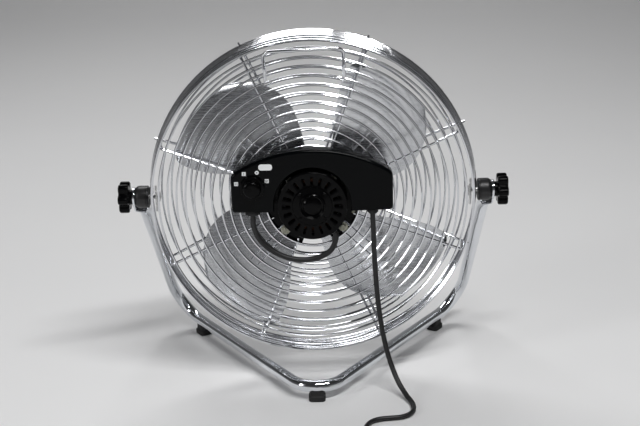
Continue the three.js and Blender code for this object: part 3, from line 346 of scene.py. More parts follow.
class Paint:
    """A material whose nodes are added one call at a time."""

    def __init__(self, name):
        self.material = bpy.data.materials.new(name)
        self.material.use_nodes = True
        self.tree = self.material.node_tree
        self.tree.nodes.clear()
        self.output = self.tree.nodes.new("ShaderNodeOutputMaterial")
        self.shader = self.tree.nodes.new("ShaderNodeBsdfPrincipled")
        self.tree.links.new(self.shader.outputs["BSDF"], self.output.inputs["Surface"])
        self.object_place = self.node("ShaderNodeTexCoord", {}, {}, "Object")

    def node(self, kind, settings, sockets, result=0):
        made = self.tree.nodes.new(kind)
        for key, value in settings.items():
            if key == "ramp":
                self._ramp(made.color_ramp, value)
            else:
                setattr(made, key, value)
        for key, value in sockets.items():
            self.feed(made.inputs[key], value)
        return Value(self, made.outputs[result])

    def _ramp(self, ramp, stops):
        while len(ramp.elements) < len(stops):
            ramp.elements.new(0.5)
        for element, (at, colour) in zip(ramp.elements, stops):
            element.position = at
            element.color = (*colour, 1)

    def feed(self, socket, value):
        if isinstance(value, Value):
            self.tree.links.new(value.socket, socket)
        elif isinstance(value, tuple) and len(value) == 3 and socket.type == "RGBA":
            socket.default_value = (*value, 1)
        else:
            socket.default_value = value

    def set(self, **sockets):
        for key, value in sockets.items():
            self.feed(self.shader.inputs[key.replace("_", " ")], value)
        return self

    def noise(self, scale, detail=4.0, roughness=0.6, at=None, distortion=0.0):
        sockets = {
            "Vector": at or self.object_place,
            "Scale": scale,
            "Detail": detail,
            "Roughness": roughness,
            "Distortion": distortion,
        }
        return self.node("ShaderNodeTexNoise", {}, sockets, "Fac")

    def stretched(self, scale, turn=(0.0, 0.0, 0.0)):
        sockets = {"Vector": self.object_place, "Scale": scale, "Rotation": turn}
        return self.node("ShaderNodeMapping", {}, sockets)

    def mix(self, share, first, second):
        sockets = {0: share, 6: first, 7: second}
        return self.node("ShaderNodeMix", {"data_type": "RGBA"}, sockets, 2)

    def bump(self, height, strength, distance=0.0002):
        sockets = {"Height": height, "Strength": strength, "Distance": distance}
        self.set(Normal=self.node("ShaderNodeBump", {}, sockets, "Normal"))
        return self


def plated(name, colour, dark, rough, wear):
    """Bright plate: even metal with hand marks, dull patches and fine pits in the polish."""
    paint = Paint(name)
    smear = paint.noise(38.0, 5.0, 0.65, distortion=0.6)
    pits = paint.noise(1600.0, 2.0, 0.5)
    haze = paint.noise(9.0, 3.0)
    dull = smear.over(0.5, 0.78) * wear
    tone = paint.mix(haze.over(0.35, 0.7) * 0.5 + dull * 0.5, colour, dark)
    paint.set(Base_Color=tone, Metallic=1.0, Roughness=dull * 0.22 + pits.over(0.6, 0.9) * 0.05 + rough)
    return paint.bump(pits * 0.6 + smear * 0.4, 0.05, 0.00005).material


def rolled(name, colour, dark):
    """Rolled aluminium sheet: long fine rolling lines, soft haze and small scuffs."""
    paint = Paint(name)
    lines = paint.noise(1.0, 6.0, 0.7, at=paint.stretched((30.0, 400.0, 2600.0)))
    haze = paint.noise(14.0, 4.0)
    scuff = paint.noise(140.0, 6.0, 0.75, distortion=1.2)
    tone = paint.mix(haze.over(0.35, 0.7) * 0.7 + lines * 0.3, colour, dark)
    rough = lines.over(0.3, 0.75) * 0.12 + scuff.over(0.6, 0.8) * 0.12 + 0.2
    paint.set(Base_Color=tone, Metallic=1.0, Roughness=rough)
    return paint.bump(lines + scuff * 0.3, 0.06, 0.00008).material


def zinc(name, colour, dark):
    """Zinc plated steel: mottled grey with a soft cast and duller grain."""
    paint = Paint(name)
    mottle = paint.noise(420.0, 4.0, 0.7)
    cast = paint.noise(60.0, 3.0)
    tone = paint.mix(mottle.over(0.35, 0.7) * 0.6 + cast * 0.4, colour, dark)
    paint.set(Base_Color=tone, Metallic=1.0, Roughness=mottle.over(0.3, 0.8) * 0.18 + 0.24)
    return paint.bump(mottle, 0.08, 0.00006).material


def gloss_black(name, colour, rough):
    """Gloss black moulding or enamel: slight waviness, dust and faint rub marks."""
    paint = Paint(name)
    wave = paint.noise(220.0, 3.0, 0.5)
    dust = paint.noise(900.0, 6.0, 0.8)
    rub = paint.noise(26.0, 6.0, 0.7, at=paint.stretched((1.0, 1.0, 2.6)), distortion=0.8)
    haze = rub.over(0.52, 0.74)
    grey = tuple(c * 2.6 + 0.0025 for c in colour)
    tone = paint.mix(haze * 0.35 + dust.over(0.66, 0.8) * 0.4, colour, grey)
    paint.set(Base_Color=tone, Roughness=haze * 0.12 + dust.over(0.6, 0.85) * 0.2 + rough)
    paint.set(Specular_IOR_Level=0.1)
    return paint.bump(wave * 0.7 + dust * 0.3, 0.05, 0.00012).material


def satin_black(name, colour, rough):
    """Satin moulded plastic: fine spark texture and a little wear."""
    paint = Paint(name)
    spark = paint.noise(1500.0, 3.0, 0.6)
    wear = paint.noise(45.0, 5.0, 0.7)
    lighter = tuple(c * 2.2 + 0.004 for c in colour)
    tone = paint.mix(wear.over(0.5, 0.8) * 0.6 + spark * 0.2, colour, lighter)
    paint.set(Base_Color=tone, Roughness=wear.over(0.4, 0.8) * 0.12 + spark * 0.08 + rough)
    return paint.bump(spark, 0.12, 0.0001).material


def rubber(name, colour):
    """Moulded rubber: matt, slightly chalky, with a coarse bloom."""
    paint = Paint(name)
    bloom = paint.noise(70.0, 6.0, 0.7)
    grain = paint.noise(1200.0, 3.0, 0.6)
    chalk = tuple(c * 3.0 + 0.008 for c in colour)
    tone = paint.mix(bloom.over(0.45, 0.8) * 0.7, colour, chalk)
    paint.set(Base_Color=tone, Roughness=grain * 0.1 + bloom * 0.1 + 0.62)
    return paint.bump(grain * 0.7 + bloom * 0.3, 0.15, 0.00012).material


def printed(name, colour):
    """Screen printed ink: matt, with a slightly uneven film."""
    paint = Paint(name)
    film = paint.noise(900.0, 4.0, 0.6)
    shade = tuple(c * 0.8 for c in colour)
    paint.set(Base_Color=paint.mix(film.over(0.4, 0.8) * 0.5, colour, shade), Roughness=film * 0.2 + 0.45)
    return paint.material


STAND_CHROME = plated("stand_chrome", (0.80, 0.82, 0.85), (0.62, 0.64, 0.67), 0.045, 0.7)
GUARD_CHROME = plated("guard_chrome", (0.76, 0.77, 0.80), (0.55, 0.56, 0.58), 0.1, 0.9)
BLADE_SHEET = rolled("blade_sheet", (0.74, 0.75, 0.77), (0.58, 0.59, 0.61))
ZINC_STEEL = zinc("zinc_steel", (0.62, 0.62, 0.61), (0.42, 0.42, 0.42))
BRIGHT_STEEL = zinc("bright_steel", (0.78, 0.78, 0.77), (0.60, 0.60, 0.60))
YELLOW_ZINC = zinc("yellow_zinc", (0.46, 0.45, 0.37), (0.27, 0.28, 0.24))
DARK_STEEL = zinc("dark_steel", (0.10, 0.10, 0.105), (0.06, 0.06, 0.06))
GLOSS_ENAMEL = gloss_black("gloss_enamel", (0.0010, 0.0010, 0.0012), 0.1)
BOX_MOULDING = gloss_black("box_moulding", (0.0008, 0.0011, 0.0014), 0.12)
KNOB_MOULDING = gloss_black("knob_moulding", (0.0012, 0.0012, 0.0014), 0.16)
PLATE_ENAMEL = gloss_black("plate_enamel", (0.0014, 0.0016, 0.0018), 0.26)
SATIN_MOULDING = satin_black("satin_moulding", (0.005, 0.005, 0.0055), 0.32)
CORD_SLEEVE = satin_black("cord_sleeve", (0.0045, 0.0045, 0.005), 0.4)
GLAND_RUBBER = rubber("gland_rubber", (0.006, 0.006, 0.0065))
FOOT_RUBBER = rubber("foot_rubber", (0.007, 0.007, 0.0075))
PRINT_WHITE = printed("print_white", (0.86, 0.88, 0.88))
PRINT_BLACK = printed("print_black", (0.02, 0.02, 0.02))
PLUG_BRASS = zinc("plug_brass", (0.80, 0.64, 0.34), (0.60, 0.46, 0.22))
COPPER_WIRE = zinc("copper_wire", (0.03, 0.014, 0.009), (0.018, 0.01, 0.007))
BEARING_BRONZE = zinc("bearing_bronze", (0.46, 0.33, 0.15), (0.32, 0.22, 0.10))

# Camera, at the photograph's angle

YAW = math.radians(1.0)
RISE = math.radians(17.2)
ROLL = math.radians(-1.6)
DISTANCE = 1.340
FOCAL_PIXELS = 1257.0
AIM = Vector((0.0068, PIVOT[1] * MM, 0.1795))


def photo_camera():
    """Stands at a distance from the aim, turned by yaw, raised by rise, and rolled about its view."""
    away = Vector((math.sin(YAW) * math.cos(RISE), -math.cos(YAW) * math.cos(RISE), math.sin(RISE)))
    camera = bpy.data.objects.new("photo_camera", bpy.data.cameras.new("photo_camera"))
    bpy.context.scene.collection.objects.link(camera)
    forward = -away
    right = forward.cross(Vector((0, 0, 1))).normalized()
    up = right.cross(forward)
    rolled_right = math.cos(ROLL) * right + math.sin(ROLL) * up
    rolled_up = -math.sin(ROLL) * right + math.cos(ROLL) * up
    turn = Matrix((rolled_right, rolled_up, away)).transposed().to_4x4()
    camera.matrix_world = Matrix.Translation(AIM + away * DISTANCE) @ turn
    camera.data.sensor_width = 36.0
    camera.data.lens = FOCAL_PIXELS / 640 * 36.0
    camera.data.clip_start = 0.05
    bpy.context.scene.camera = camera
    return camera


photo_camera()

# Power cord: out of the gland, down, along the floor and into its coil

CORD_WIDTH = 5.4
CORD_ROUTE = [
    (62.4, -39.5, 172), (63, -40, 145), (64.5, -41.5, 115), (67, -45, 85), (71, -51, 58), (77, -60, 34),
    (85, -72, 15), (93, -86, 5.5), (98, -98, 2.9), (99, -110, 2.9), (97.3, -118.4, 2.9), (92.6, -125.6, 2.9),
    (85.4, -130.3, 2.9), (74, -132.2, 2.9), (62.6, -134.3, 2.9), (55.4, -139, 2.9), (50.7, -146.2, 2.9),
    (48.6, -156, 2.9), (47.2, -169, 2.9),
]
COIL_CENTRE = (74.0, -213.0)
COIL_MIDDLE = 31.5
COIL_PITCH = 6.8
COIL_LIFT = 6.2
COIL_LOOPS = 2.75
COIL_START = math.radians(150)
COIL_LEAD = 42.0


def coil_path():
    """Turns that spiral in on the floor, climb in half a turn and spiral out again above, then run
    straight off. The radius shrinks and grows by the pitch with each turn."""
    turn = np.linspace(0, 2 * COIL_LOOPS + 0.5, 300)
    climb = np.clip((turn - COIL_LOOPS) / 0.5, 0, 1)
    inward = np.minimum(turn, COIL_LOOPS)
    outward = np.maximum(turn - COIL_LOOPS - 0.5, 0)
    radius = COIL_MIDDLE + COIL_PITCH * (COIL_LOOPS / 2 - inward + outward)
    angle = COIL_START + turn * TAU
    x = COIL_CENTRE[0] + radius * np.cos(angle)
    y = COIL_CENTRE[1] + radius * np.sin(angle)
    z = FLOOR + CORD_WIDTH / 2 + COIL_LIFT * climb
    path = np.stack([x, y, z], axis=-1)
    back = np.array([np.interp(turn[-1] - 0.05, turn, path[:, i]) for i in range(3)])
    onward = (path[-1] - back) * [1, 1, 0]
    onward /= np.linalg.norm(onward)
    lead = path[-1] + onward * np.linspace(0, COIL_LEAD, 8)[1:, None]
    return np.concatenate([path, lead])


def smooth_through(points, per=10):
    """A smooth curve through points: each stretch is a cubic whose slopes at its ends follow the
    neighbouring points, with their distances as its measure."""
    points = np.asarray(points, float)
    knots = np.concatenate([[0], np.cumsum(np.sqrt(np.linalg.norm(np.diff(points, axis=0), axis=1)))])
    slopes = np.gradient(points, knots, axis=0)
    t = np.linspace(0, 1, per, endpoint=False)[None, :, None]
    span = np.diff(knots)[:, None, None]
    p0, p1 = points[:-1, None], points[1:, None]
    m0, m1 = slopes[:-1, None] * span, slopes[1:, None] * span
    curve = (2 * t**3 - 3 * t**2 + 1) * p0 + (t**3 - 2 * t**2 + t) * m0
    curve = curve + (3 * t**2 - 2 * t**3) * p1 + (t**3 - t**2) * m1
    return np.concatenate([curve.reshape(-1, 3), points[-1:]])


def twin_section(width, thick, sides=20):
    """Two round strands side by side with a shallow valley between them."""
    angle = np.arange(sides) / sides * TAU
    valley = 1 - 0.22 * np.exp(-((np.cos(angle) / 0.28) ** 2))
    return np.stack([width / 2 * np.cos(angle), thick / 2 * np.sin(angle) * valley], axis=-1)


coil = coil_path()
cord_start = np.array([GLAND_X, GLAND_PLANE, -11.3])
free = [cord_start, cord_start - [0, 0, CORD_WIDTH]]
free += [np.array([x, y, FLOOR + z]) for x, y, z in CORD_ROUTE]
into = coil[0] - coil[1]
into /= np.linalg.norm(into)
free += [coil[0] + into * 11.1]
cord_line = evenly(np.concatenate([smooth_through(free), coil]), 2.2)
cord = piece(
    "power_cord_sleeve",
    Shells().grid(swept(cord_line, twin_section(CORD_WIDTH, CORD_WIDTH * 0.93))),
    CORD_SLEEVE,
    None,
    ["power_cord", "cord_coil"],
    crease=60,
)
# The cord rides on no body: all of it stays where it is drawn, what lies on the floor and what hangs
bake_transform(cord)

# Guards


def torus(radius, along, thick, steps=120, sides=10):
    """A ring of round wire about the fan's axis: the section's circle carried round it."""
    section = circle(thick, sides)
    profile = np.stack([radius + section[:, 0], along + section[:, 1]], axis=-1)
    return revolved(profile, steps)


def in_plane(profile):
    """Radius and axial pairs laid out as points in the plane of X and the fan's axis."""
    profile = np.asarray(profile, float)
    return np.stack([profile[:, 0], profile[:, 1], np.zeros(len(profile))], axis=-1)


def rear_guard_wires():
    """Rings on the face and the side band, spokes with hooked ends and the hairpin pairs. The band's
    rings are pressed together towards the rear within some degrees of the bolts, which pass them."""
    shells = Shells()
    shells.grid(torus(REAR_RIM_RADIUS, REAR_FACE, RIM_WIRE), along=True)
    for radius in FACE_RINGS:
        shells.grid(torus(radius, REAR_FACE, RING_WIRE), along=True)
    flare = (FRONT_RIM_RADIUS - REAR_RIM_RADIUS) / (FRONT_RIM - REAR_FACE)
    for even, pressed in BAND_RINGS:
        ring = torus(REAR_RIM_RADIUS + flare * (even - REAR_FACE), even, RING_WIRE, steps=240)
        aside = np.degrees(np.arcsin(np.abs(np.sin(np.arange(240) / 240 * TAU + GUARD_TURN))))
        share = np.clip((13.0 - aside) / 8.0, 0, 1)
        shift = (pressed - even) * share**2 * (3 - 2 * share)
        outward = ring[..., [0, 2]] / np.linalg.norm(ring[..., [0, 2]], axis=-1, keepdims=True)
        ring[..., 1] += shift
        ring[..., [0, 2]] += outward * (flare * shift)[None, :, None]
        shells.grid(ring, along=True)
    shells.grid(torus(FRONT_RIM_RADIUS, FRONT_RIM, RIM_WIRE), along=True)
    layer = REAR_FACE + RING_WIRE + SPOKE_WIRE - 0.35
    inside = RING_WIRE + SPOKE_WIRE - 0.3
    hook = FRONT_RIM + RIM_WIRE + SPOKE_WIRE - 0.4
    spoke = in_plane(
        [
            (45, layer),
            (REAR_RIM_RADIUS - inside, layer),
            (FRONT_RIM_RADIUS - inside, hook),
            (FRONT_RIM_RADIUS + 4.6, hook),
        ]
    )
    spoke = rounded(spoke, 3.0, 5)
    hairpin_layer = REAR_FACE + RING_WIRE + 1.2 - 0.3
    half = 4.6
    bow = np.linspace(math.pi / 2, 1.5 * math.pi, 13)
    hairpin = np.stack([42.6 + half * np.cos(bow), half * np.sin(bow)], axis=-1)
    hairpin = np.concatenate([[(93.0, half)], hairpin, [(93.0, -half)]])
    hairpin = np.stack([hairpin[:, 0], np.full(len(hairpin), hairpin_layer), hairpin[:, 1]], axis=-1)
    for i in range(8):
        shells.grid(turned(wire(spoke, SPOKE_WIRE, up=(0, 0, 1)), TAU * (i + 0.5) / 8))
    for i in range(4):
        shells.grid(turned(wire(hairpin, 1.2, up=(0, 1, 0)), TAU * (i + 0.5) / 4))
    shells.points = [turned(p, GUARD_TURN) for p in shells.points]
    return shells


def dome(radius):
    """How far forward the front guard stands at a radius."""
    return FRONT_GUARD_RIM + DOME_HEIGHT * (1 - (radius / FRONT_RIM_RADIUS) ** DOME_POWER)


def front_guard_wires():
    """Rings on a shallow dome and spokes under them."""
    shells = Shells()
    shells.grid(torus(FRONT_RIM_RADIUS, FRONT_GUARD_RIM, RIM_WIRE), along=True)
    for radius in np.linspace(50, 162, 12):
        shells.grid(torus(radius, float(dome(radius)), RING_WIRE), along=True)
    radii = np.linspace(FRONT_RIM_RADIUS - 1.2, 30, 24)
    spoke = in_plane(np.stack([radii, dome(radii) - RING_WIRE - SPOKE_WIRE + 0.35], axis=-1))
    spoke[0, 1] = FRONT_GUARD_RIM - 0.2
    for i in range(8):
        shells.grid(turned(wire(spoke, SPOKE_WIRE, up=(0, 0, 1)), TAU * (i + 0.5) / 8))
    shells.points = [turned(p, GUARD_TURN) for p in shells.points]
    return shells


def badge():
    """A pressed plate with a rolled edge and a shallow raised middle, left bare."""
    back = float(dome(36.0)) - 3.1
    profile = [(0, back), (36, back), (36, back + 2), (33, back + 2), (31, back + 1.2), (24, back + 1.2)]
    profile += [(20, back + 2.2), (0, back + 2.6)]
    return Shells().grid(revolved(rounded(profile, [0, 0.6, 0.6, 0.8, 0.8, 2, 3, 0], 3), 72), ends=False)


def carry_handle_wire():
    """A bow of wire whose feet lie along the spokes' side of the rear face."""
    half, foot, bar = 40.0, REAR_FACE - RING_WIRE - 1.7, REAR_FACE - 20
    corners = [
        (-half, foot, 127), (-half, foot, 139), (-half, bar, 161), (half, bar, 161), (half, foot, 139),
        (half, foot, 127),
    ]
    path = rounded(corners, [0, 5, 9, 9, 5, 0], 7)
    return Shells().grid(turned(wire(path, 1.8, 12), GUARD_TURN))


piece("rear_guard_wires", rear_guard_wires(), GUARD_CHROME, "head", ["rear_guard"])
piece("front_guard_wires", front_guard_wires(), GUARD_CHROME, "head", ["front_guard"])
piece("front_badge", badge(), GUARD_CHROME, "head")
piece("carry_handle_wire", carry_handle_wire(), GUARD_CHROME, "head", ["carry_handle"])

# Stand

ARM_TOP = np.array([183.0, 0.0, 0.0])
ARM_CORNER = np.array([170.0, 158.0, FLOOR + 15.0])
STAND_TIP = np.array([0.0, -105.0, FLOOR + 15.0])
TUBE = 6.5


def arc_corner(before, at, after, radius, steps):
    """The arc that rounds a corner: its centre lies on the bisector, at radius over the sine of
    the half angle."""
    back = (before - at) / np.linalg.norm(before - at)
    on = (after - at) / np.linalg.norm(after - at)
    half = math.acos(float(np.clip(back @ on, -1, 1))) / 2
    centre = at + (back + on) / np.linalg.norm(back + on) * radius / math.sin(half)
    start = at + back * radius / math.tan(half) - centre
    end = at + on * radius / math.tan(half) - centre
    sweep = math.pi - 2 * half
    t = np.linspace(0, 1, steps)[:, None]
    return centre + (start * np.sin((1 - t) * sweep) + end * np.sin(t * sweep)) / math.sin(sweep)


def stand_tube_form():
    """One tube of round section whose two ends are pressed flat: half thickness and half width go
    smoothly from plate to tube, and the outer side stays cut by a plane that runs out in a V."""
    side = np.array([-1.0, 1.0, 1.0])
    down = (ARM_CORNER - ARM_TOP) / np.linalg.norm(ARM_CORNER - ARM_TOP)
    top = ARM_TOP + down * np.linspace(0, 60, 41)[:, None]
    right = arc_corner(ARM_TOP, ARM_CORNER, STAND_TIP, 30.0, 21)
    tip = arc_corner(ARM_CORNER, STAND_TIP, ARM_CORNER * side, 30.0, 25)
    half_path = np.concatenate([top, right])
    path = np.concatenate([half_path, tip, (half_path * side)[::-1]])
    count = len(path)
    run = np.linalg.norm(path - ARM_TOP, axis=1)
    run = np.minimum(run, run[::-1])
    sides = 36
    angle = np.arange(sides) / sides * TAU
    flat = np.clip((run - 12.0) / 7.5, 0, 1)[:, None]
    full = np.clip((run - 13.0) / 20.0, 0, 1)[:, None]
    full = full * full * (3 - 2 * full)
    thick = 1.25 + (4.6 - 1.25) * flat + (TUBE - 4.6) * full
    wide = 10.0 + (8.4 - 10.0) * flat + (TUBE - 8.4) * full
    power = 0.45 + 0.4 * flat + 0.15 * full
    lean = (ARM_TOP[0] - ARM_CORNER[0]) / np.linalg.norm(ARM_TOP - ARM_CORNER)
    lug = (LUG_INNER + LUG_OUTER) / 2 - ARM_TOP[0]
    shift = (lug + lean * run[:, None]) * (1 - flat) + (TUBE - 4.6) * flat * (1 - full)
    cosine, sine = np.cos(angle)[None], np.sin(angle)[None]
    out = shift + thick * np.sign(cosine) * np.abs(cosine) ** power
    across = wide * np.sign(sine) * np.abs(sine) ** power
    plane = TUBE - 2.2 * np.clip(1 - (run - 13) / 27, 0, 1)[:, None]
    out = np.where(run[:, None] > 15, np.minimum(out, plane), out)
    tangent = np.gradient(path, axis=0)
    tangent /= np.linalg.norm(tangent, axis=1, keepdims=True)
    middle = np.array([0.0, 40.0, 0.0])
    outward = (path - middle) * [1, 1, 0]
    arm = np.clip((run - 60) / 60, 0, 1)[:, None]
    straight = np.stack([np.sign(path[:, 0]), np.zeros(count), np.zeros(count)], axis=-1)
    outward = straight * (1 - arm) + outward / np.linalg.norm(outward, axis=1, keepdims=True) * arm
    outward -= tangent * (outward * tangent).sum(axis=1, keepdims=True)
    outward /= np.linalg.norm(outward, axis=1, keepdims=True)
    other = np.cross(tangent, outward)
    grid = path[:, None] + outward[:, None] * out[..., None] + other[:, None] * across[..., None]
    shells = Shells().grid(grid)
    for direction in (1, -1):
        rim = rounded([(0, LUG_INNER), (10, LUG_INNER), (10, LUG_OUTER), (0, LUG_OUTER)], [0, 0.6, 0.6, 0], 3)
        disc = revolved(rim, 40, axis="x")
        shells.grid(disc if direction > 0 else mirrored(disc), ends=False)
    return shells


def foot_form(centre, angle):
    """A rubber block with rounded corners: a wide pad below and a saddle above, its top edge
    rolled over."""
    profile = [(0.0, 0.0), (0.5, 0.5), (0.5, 5.2), (0.0, 5.6), (-0.9, 6.2), (-1.2, 7.5), (-1.2, 12.6), (-2.2, 13.6)]
    corners = [(-7.3, -8.8), (7.3, -8.8), (7.3, 8.8), (-7.3, 8.8)]
    base = rounded(corners, 4.4, 5, closed=True)
    reach = np.linalg.norm(base, axis=1, keepdims=True)
    rows = []
    for inset, height in profile:
        shape = base * (1 + (inset - 0.5) / reach)
        rows.append(np.column_stack([shape, np.full(len(shape), height)]))
    grid = np.array(rows)
    c, s = math.cos(angle), math.sin(angle)
    x = grid[..., 0] * c - grid[..., 1] * s + centre[0]
    y = grid[..., 0] * s + grid[..., 1] * c + centre[1]
    return Shells().grid(np.stack([x, y, grid[..., 2] + FLOOR], axis=-1))


piece("stand_tube_form", stand_tube_form(), STAND_CHROME, "stand", ["stand_tube"], crease=28)


def foot_place(node):
    """The middle of a foot's box."""
    low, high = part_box(node)
    return (np.array(low) + np.array(high))[:2] / 2 / MM - PIVOT[:2]


arm_turn = math.atan2(ARM_CORNER[0] - STAND_TIP[0], ARM_CORNER[1] - STAND_TIP[1])
for foot, foot_turn in (("foot_rear", math.pi / 2), ("foot_right", -arm_turn), ("foot_left", arm_turn)):
    form = foot_form(foot_place(foot), foot_turn)
    piece(foot + "_block", form, FOOT_RUBBER, "stand", [foot])

# Fan blades


def blade_sheet():
    """Four curved blades and their disc in one sheet. A blade's point lies at radius and angle,
    and its depth falls from the leading to the trailing edge with a little camber."""
    across = np.linspace(0, 1, 26)[:, None]
    along = np.linspace(-1, 1, 33)[None, :]
    radius = 27 + (150 - 27) * across * (1 - 0.035 * along**8 * across**6)
    to_mid = np.radians(30 + np.minimum(across * 2, 1))
    half = to_mid + (math.radians(19) - to_mid) * np.maximum(across * 2 - 1, 0) ** 2
    angle = math.radians(16) * across**2 + along * half
    depth_half = 1.5 + (11 - 1.5) * np.sqrt(across)
    disc_rear = -1.1
    depth = disc_rear + 0.6 - 8 * across - along * depth_half - 4 * across * (1 - along**2)
    shells = Shells()
    upper = np.stack([radius * np.cos(angle), depth + 0.5, radius * np.sin(angle)], axis=-1)
    lower = upper - [0, 1.0, 0]
    rim = np.concatenate([upper, lower[:, ::-1]], axis=1)
    for i in range(4):
        shells.grid(turned(rim, math.radians(38) + TAU * i / 4))
    profile = rounded([(10.3, disc_rear), (33, disc_rear), (33, disc_rear + 1.2), (10.3, disc_rear + 1.2)], 0.3, 2, True)
    shells.grid(revolved(profile, 64), along=True)
    rivet = [(0, 1.0), (0.9, 0.9), (1.7, 0.5), (2.0, 0.0), (2.0, -0.4), (0, -0.4)]
    for i in range(4):
        shells.grid(turned(revolved(rivet, 16, centre=(17.0, 0.1, 0)), TAU * i / 4), ends=False)
    return shells


def blade_hub_form():
    """A flange and a barrel, turned, with broken edges."""
    profile = [(4.3, -3.9), (22, -3.9), (22, -1.4), (10, -1.4), (10, 3.1), (4.3, 3.1)]
    return Shells().grid(revolved(rounded(profile, 0.35, 2, True), 48), along=True)


def blade_nut_form():
    """A spinner: a grip with twelve flutes, whose depth follows a cosine, and a domed nose."""
    profile = [(0, 3.4), (10.3, 3.4), (10.3, 0.4), (12.3, 0.4), (12.6, 0.9), (12.6, 2.0), (12.6, 9.8), (12.5, 11.4)]
    profile += [(11.8, 14.0), (10.1, 16.7), (7.8, 18.8), (5.0, 20.3), (2.4, 20.9), (0, 21.1)]
    profile = np.array(profile)
    grid = revolved(profile, 96)
    angle = np.arange(96) / 96 * TAU
    grip = np.clip((profile[:, 0] - 12.0) / 0.4, 0, 1) * (profile[:, 1] > 1.5)
    flute = 1 - 0.055 * grip[:, None] * np.clip(np.cos(12 * angle), 0, 1) ** 2
    return Shells().grid(grid * np.stack([flute, np.ones_like(flute), flute], axis=-1), ends=False)


piece("blade_sheet_form", blade_sheet(), BLADE_SHEET, "rotor", ["fan_blade"])
piece("blade_hub_form", blade_hub_form(), ZINC_STEEL, "rotor", ["blade_hub"])
piece("blade_nut_form", blade_nut_form(), SATIN_MOULDING, "rotor", ["blade_nut"])

# Motor

VENTS = 20
SIDES_PER_VENT = 6


def vented_face(shells, inner, outer, top, under):
    """A flat ring with slots: in each sector the slot's outline is joined to the sector's own
    outline, on the outside, round the slot's edge and on the inside."""
    half = TAU / VENTS / 2
    sweep = np.linspace(-half, half, SIDES_PER_VENT + 1)
    side = np.linspace(inner, outer, SIDES_PER_VENT + 1)
    c, s = math.cos(half), math.sin(half)
    edge = np.concatenate(
        [
            np.column_stack([outer * np.cos(sweep), outer * np.sin(sweep)])[:-1],
            np.column_stack([side * c, side * s])[::-1][:-1],
            np.column_stack([inner * np.cos(sweep), inner * np.sin(sweep)])[::-1][:-1],
            np.column_stack([side * c, -side * s])[:-1],
        ]
    )
    wide, low, high = 1.2, 22.6, 31.0
    turn = np.linspace(-math.pi / 2, math.pi / 2, SIDES_PER_VENT + 1)
    run = np.linspace(low + wide, high - wide, SIDES_PER_VENT + 1)
    ones = np.full(SIDES_PER_VENT + 1, wide)
    slot = np.concatenate(
        [
            np.column_stack([high - wide + wide * np.cos(turn), wide * np.sin(turn)])[:-1],
            np.column_stack([run, ones])[::-1][:-1],
            np.column_stack([low + wide - wide * np.cos(turn), wide * np.sin(turn)])[::-1][:-1],
            np.column_stack([run, -ones])[:-1],
        ]
    )
    wider = inset(slot, -0.3)
    rows = [(edge, under), (slot, under), (slot, top + 0.35), (inset(slot, -0.1), top + 0.1), (wider, top), (edge, top)]
    grid = stacked(rows)
    for i in range(VENTS):
        shells.grid(turned(grid, TAU * i / VENTS), ends=False)


def motor_rear_cover_form():
    """A pressed cup with slots, a raised middle with a lipped boss, and its four dimples."""
    shells = Shells()
    face = COVER_FACE
    vented_face(shells, 21.4, 33.0, face, face + 1.6)
    sides = VENTS * SIDES_PER_VENT
    turn = -TAU / VENTS / 2
    step = face - 1.0
    middle = [(21.4, face), (20.7, face - 0.15), (20.2, step + 0.15), (19.7, step), (14.4, step), (13.5, step - 0.3)]
    middle += [(13.2, step - 1.2), (13.1, step - 2.2), (12.6, step - 2.6), (12.1, step - 2.3), (11.6, step - 1.4)]
    middle += [(10.9, step - 0.8), (10.0, step - 0.6), (9.3, step - 0.9), (8.6, step - 1.5), (7.4, step - 1.95)]
    middle += [(5.2, step - 2.3), (2.6, step - 2.5), (0, step - 2.55)]
    shells.grid(revolved(middle, sides, turn=turn), ends=False)
    shells.grid(revolved([(21.4, face + 1.6), (19, face + 1.2), (0, face + 1.2)], sides, turn=turn), ends=False)
    shoulder = rounded([(33, face), (36, face), (36, COVER_OPEN)], [0, 2.9, 0], 8)
    inner = [(34.4, COVER_OPEN), (34.4, face + 4), (33, face + 1.6)]
    lip = [(36, COVER_OPEN - 1.2), (36.35, COVER_OPEN - 1.0), (36.35, COVER_OPEN)]
    wall = np.concatenate([shoulder[:-1], lip, inner])
    shells.grid(revolved(wall, sides, turn=turn), ends=False)
    dimple = [(0, step - 0.95), (0.8, step - 0.85), (1.5, step - 0.5), (1.9, step), (1.9, step + 0.3), (0, step + 0.3)]
    for i in range(4):
        place_angle = TAU * (i + 0.5) / 4
        shells.grid(turned(revolved(dimple, 16, centre=(17.9, 0, 0)), place_angle), ends=False)
    return shells


def motor_front_cover_form():
    """The front cup, with a ribbed shoulder round the shaft."""
    profile = [(4.3, -4.5), (9.3, -4.5), (10.9, -8.9), (16, -9.3), (16.8, -9.9), (17.6, -9.45), (24, -9.9)]
    profile += [(24.8, -10.5), (25.6, -10.0), (33, -10.5), (36, -13.5), (36, -20.5), (34.4, -20.5), (34.4, -13.8)]
    profile += [(32, -12), (10, -10.6), (4.3, -7)]
    return Shells().grid(revolved(rounded(profile, 0.5, 3, True), 96), along=True)


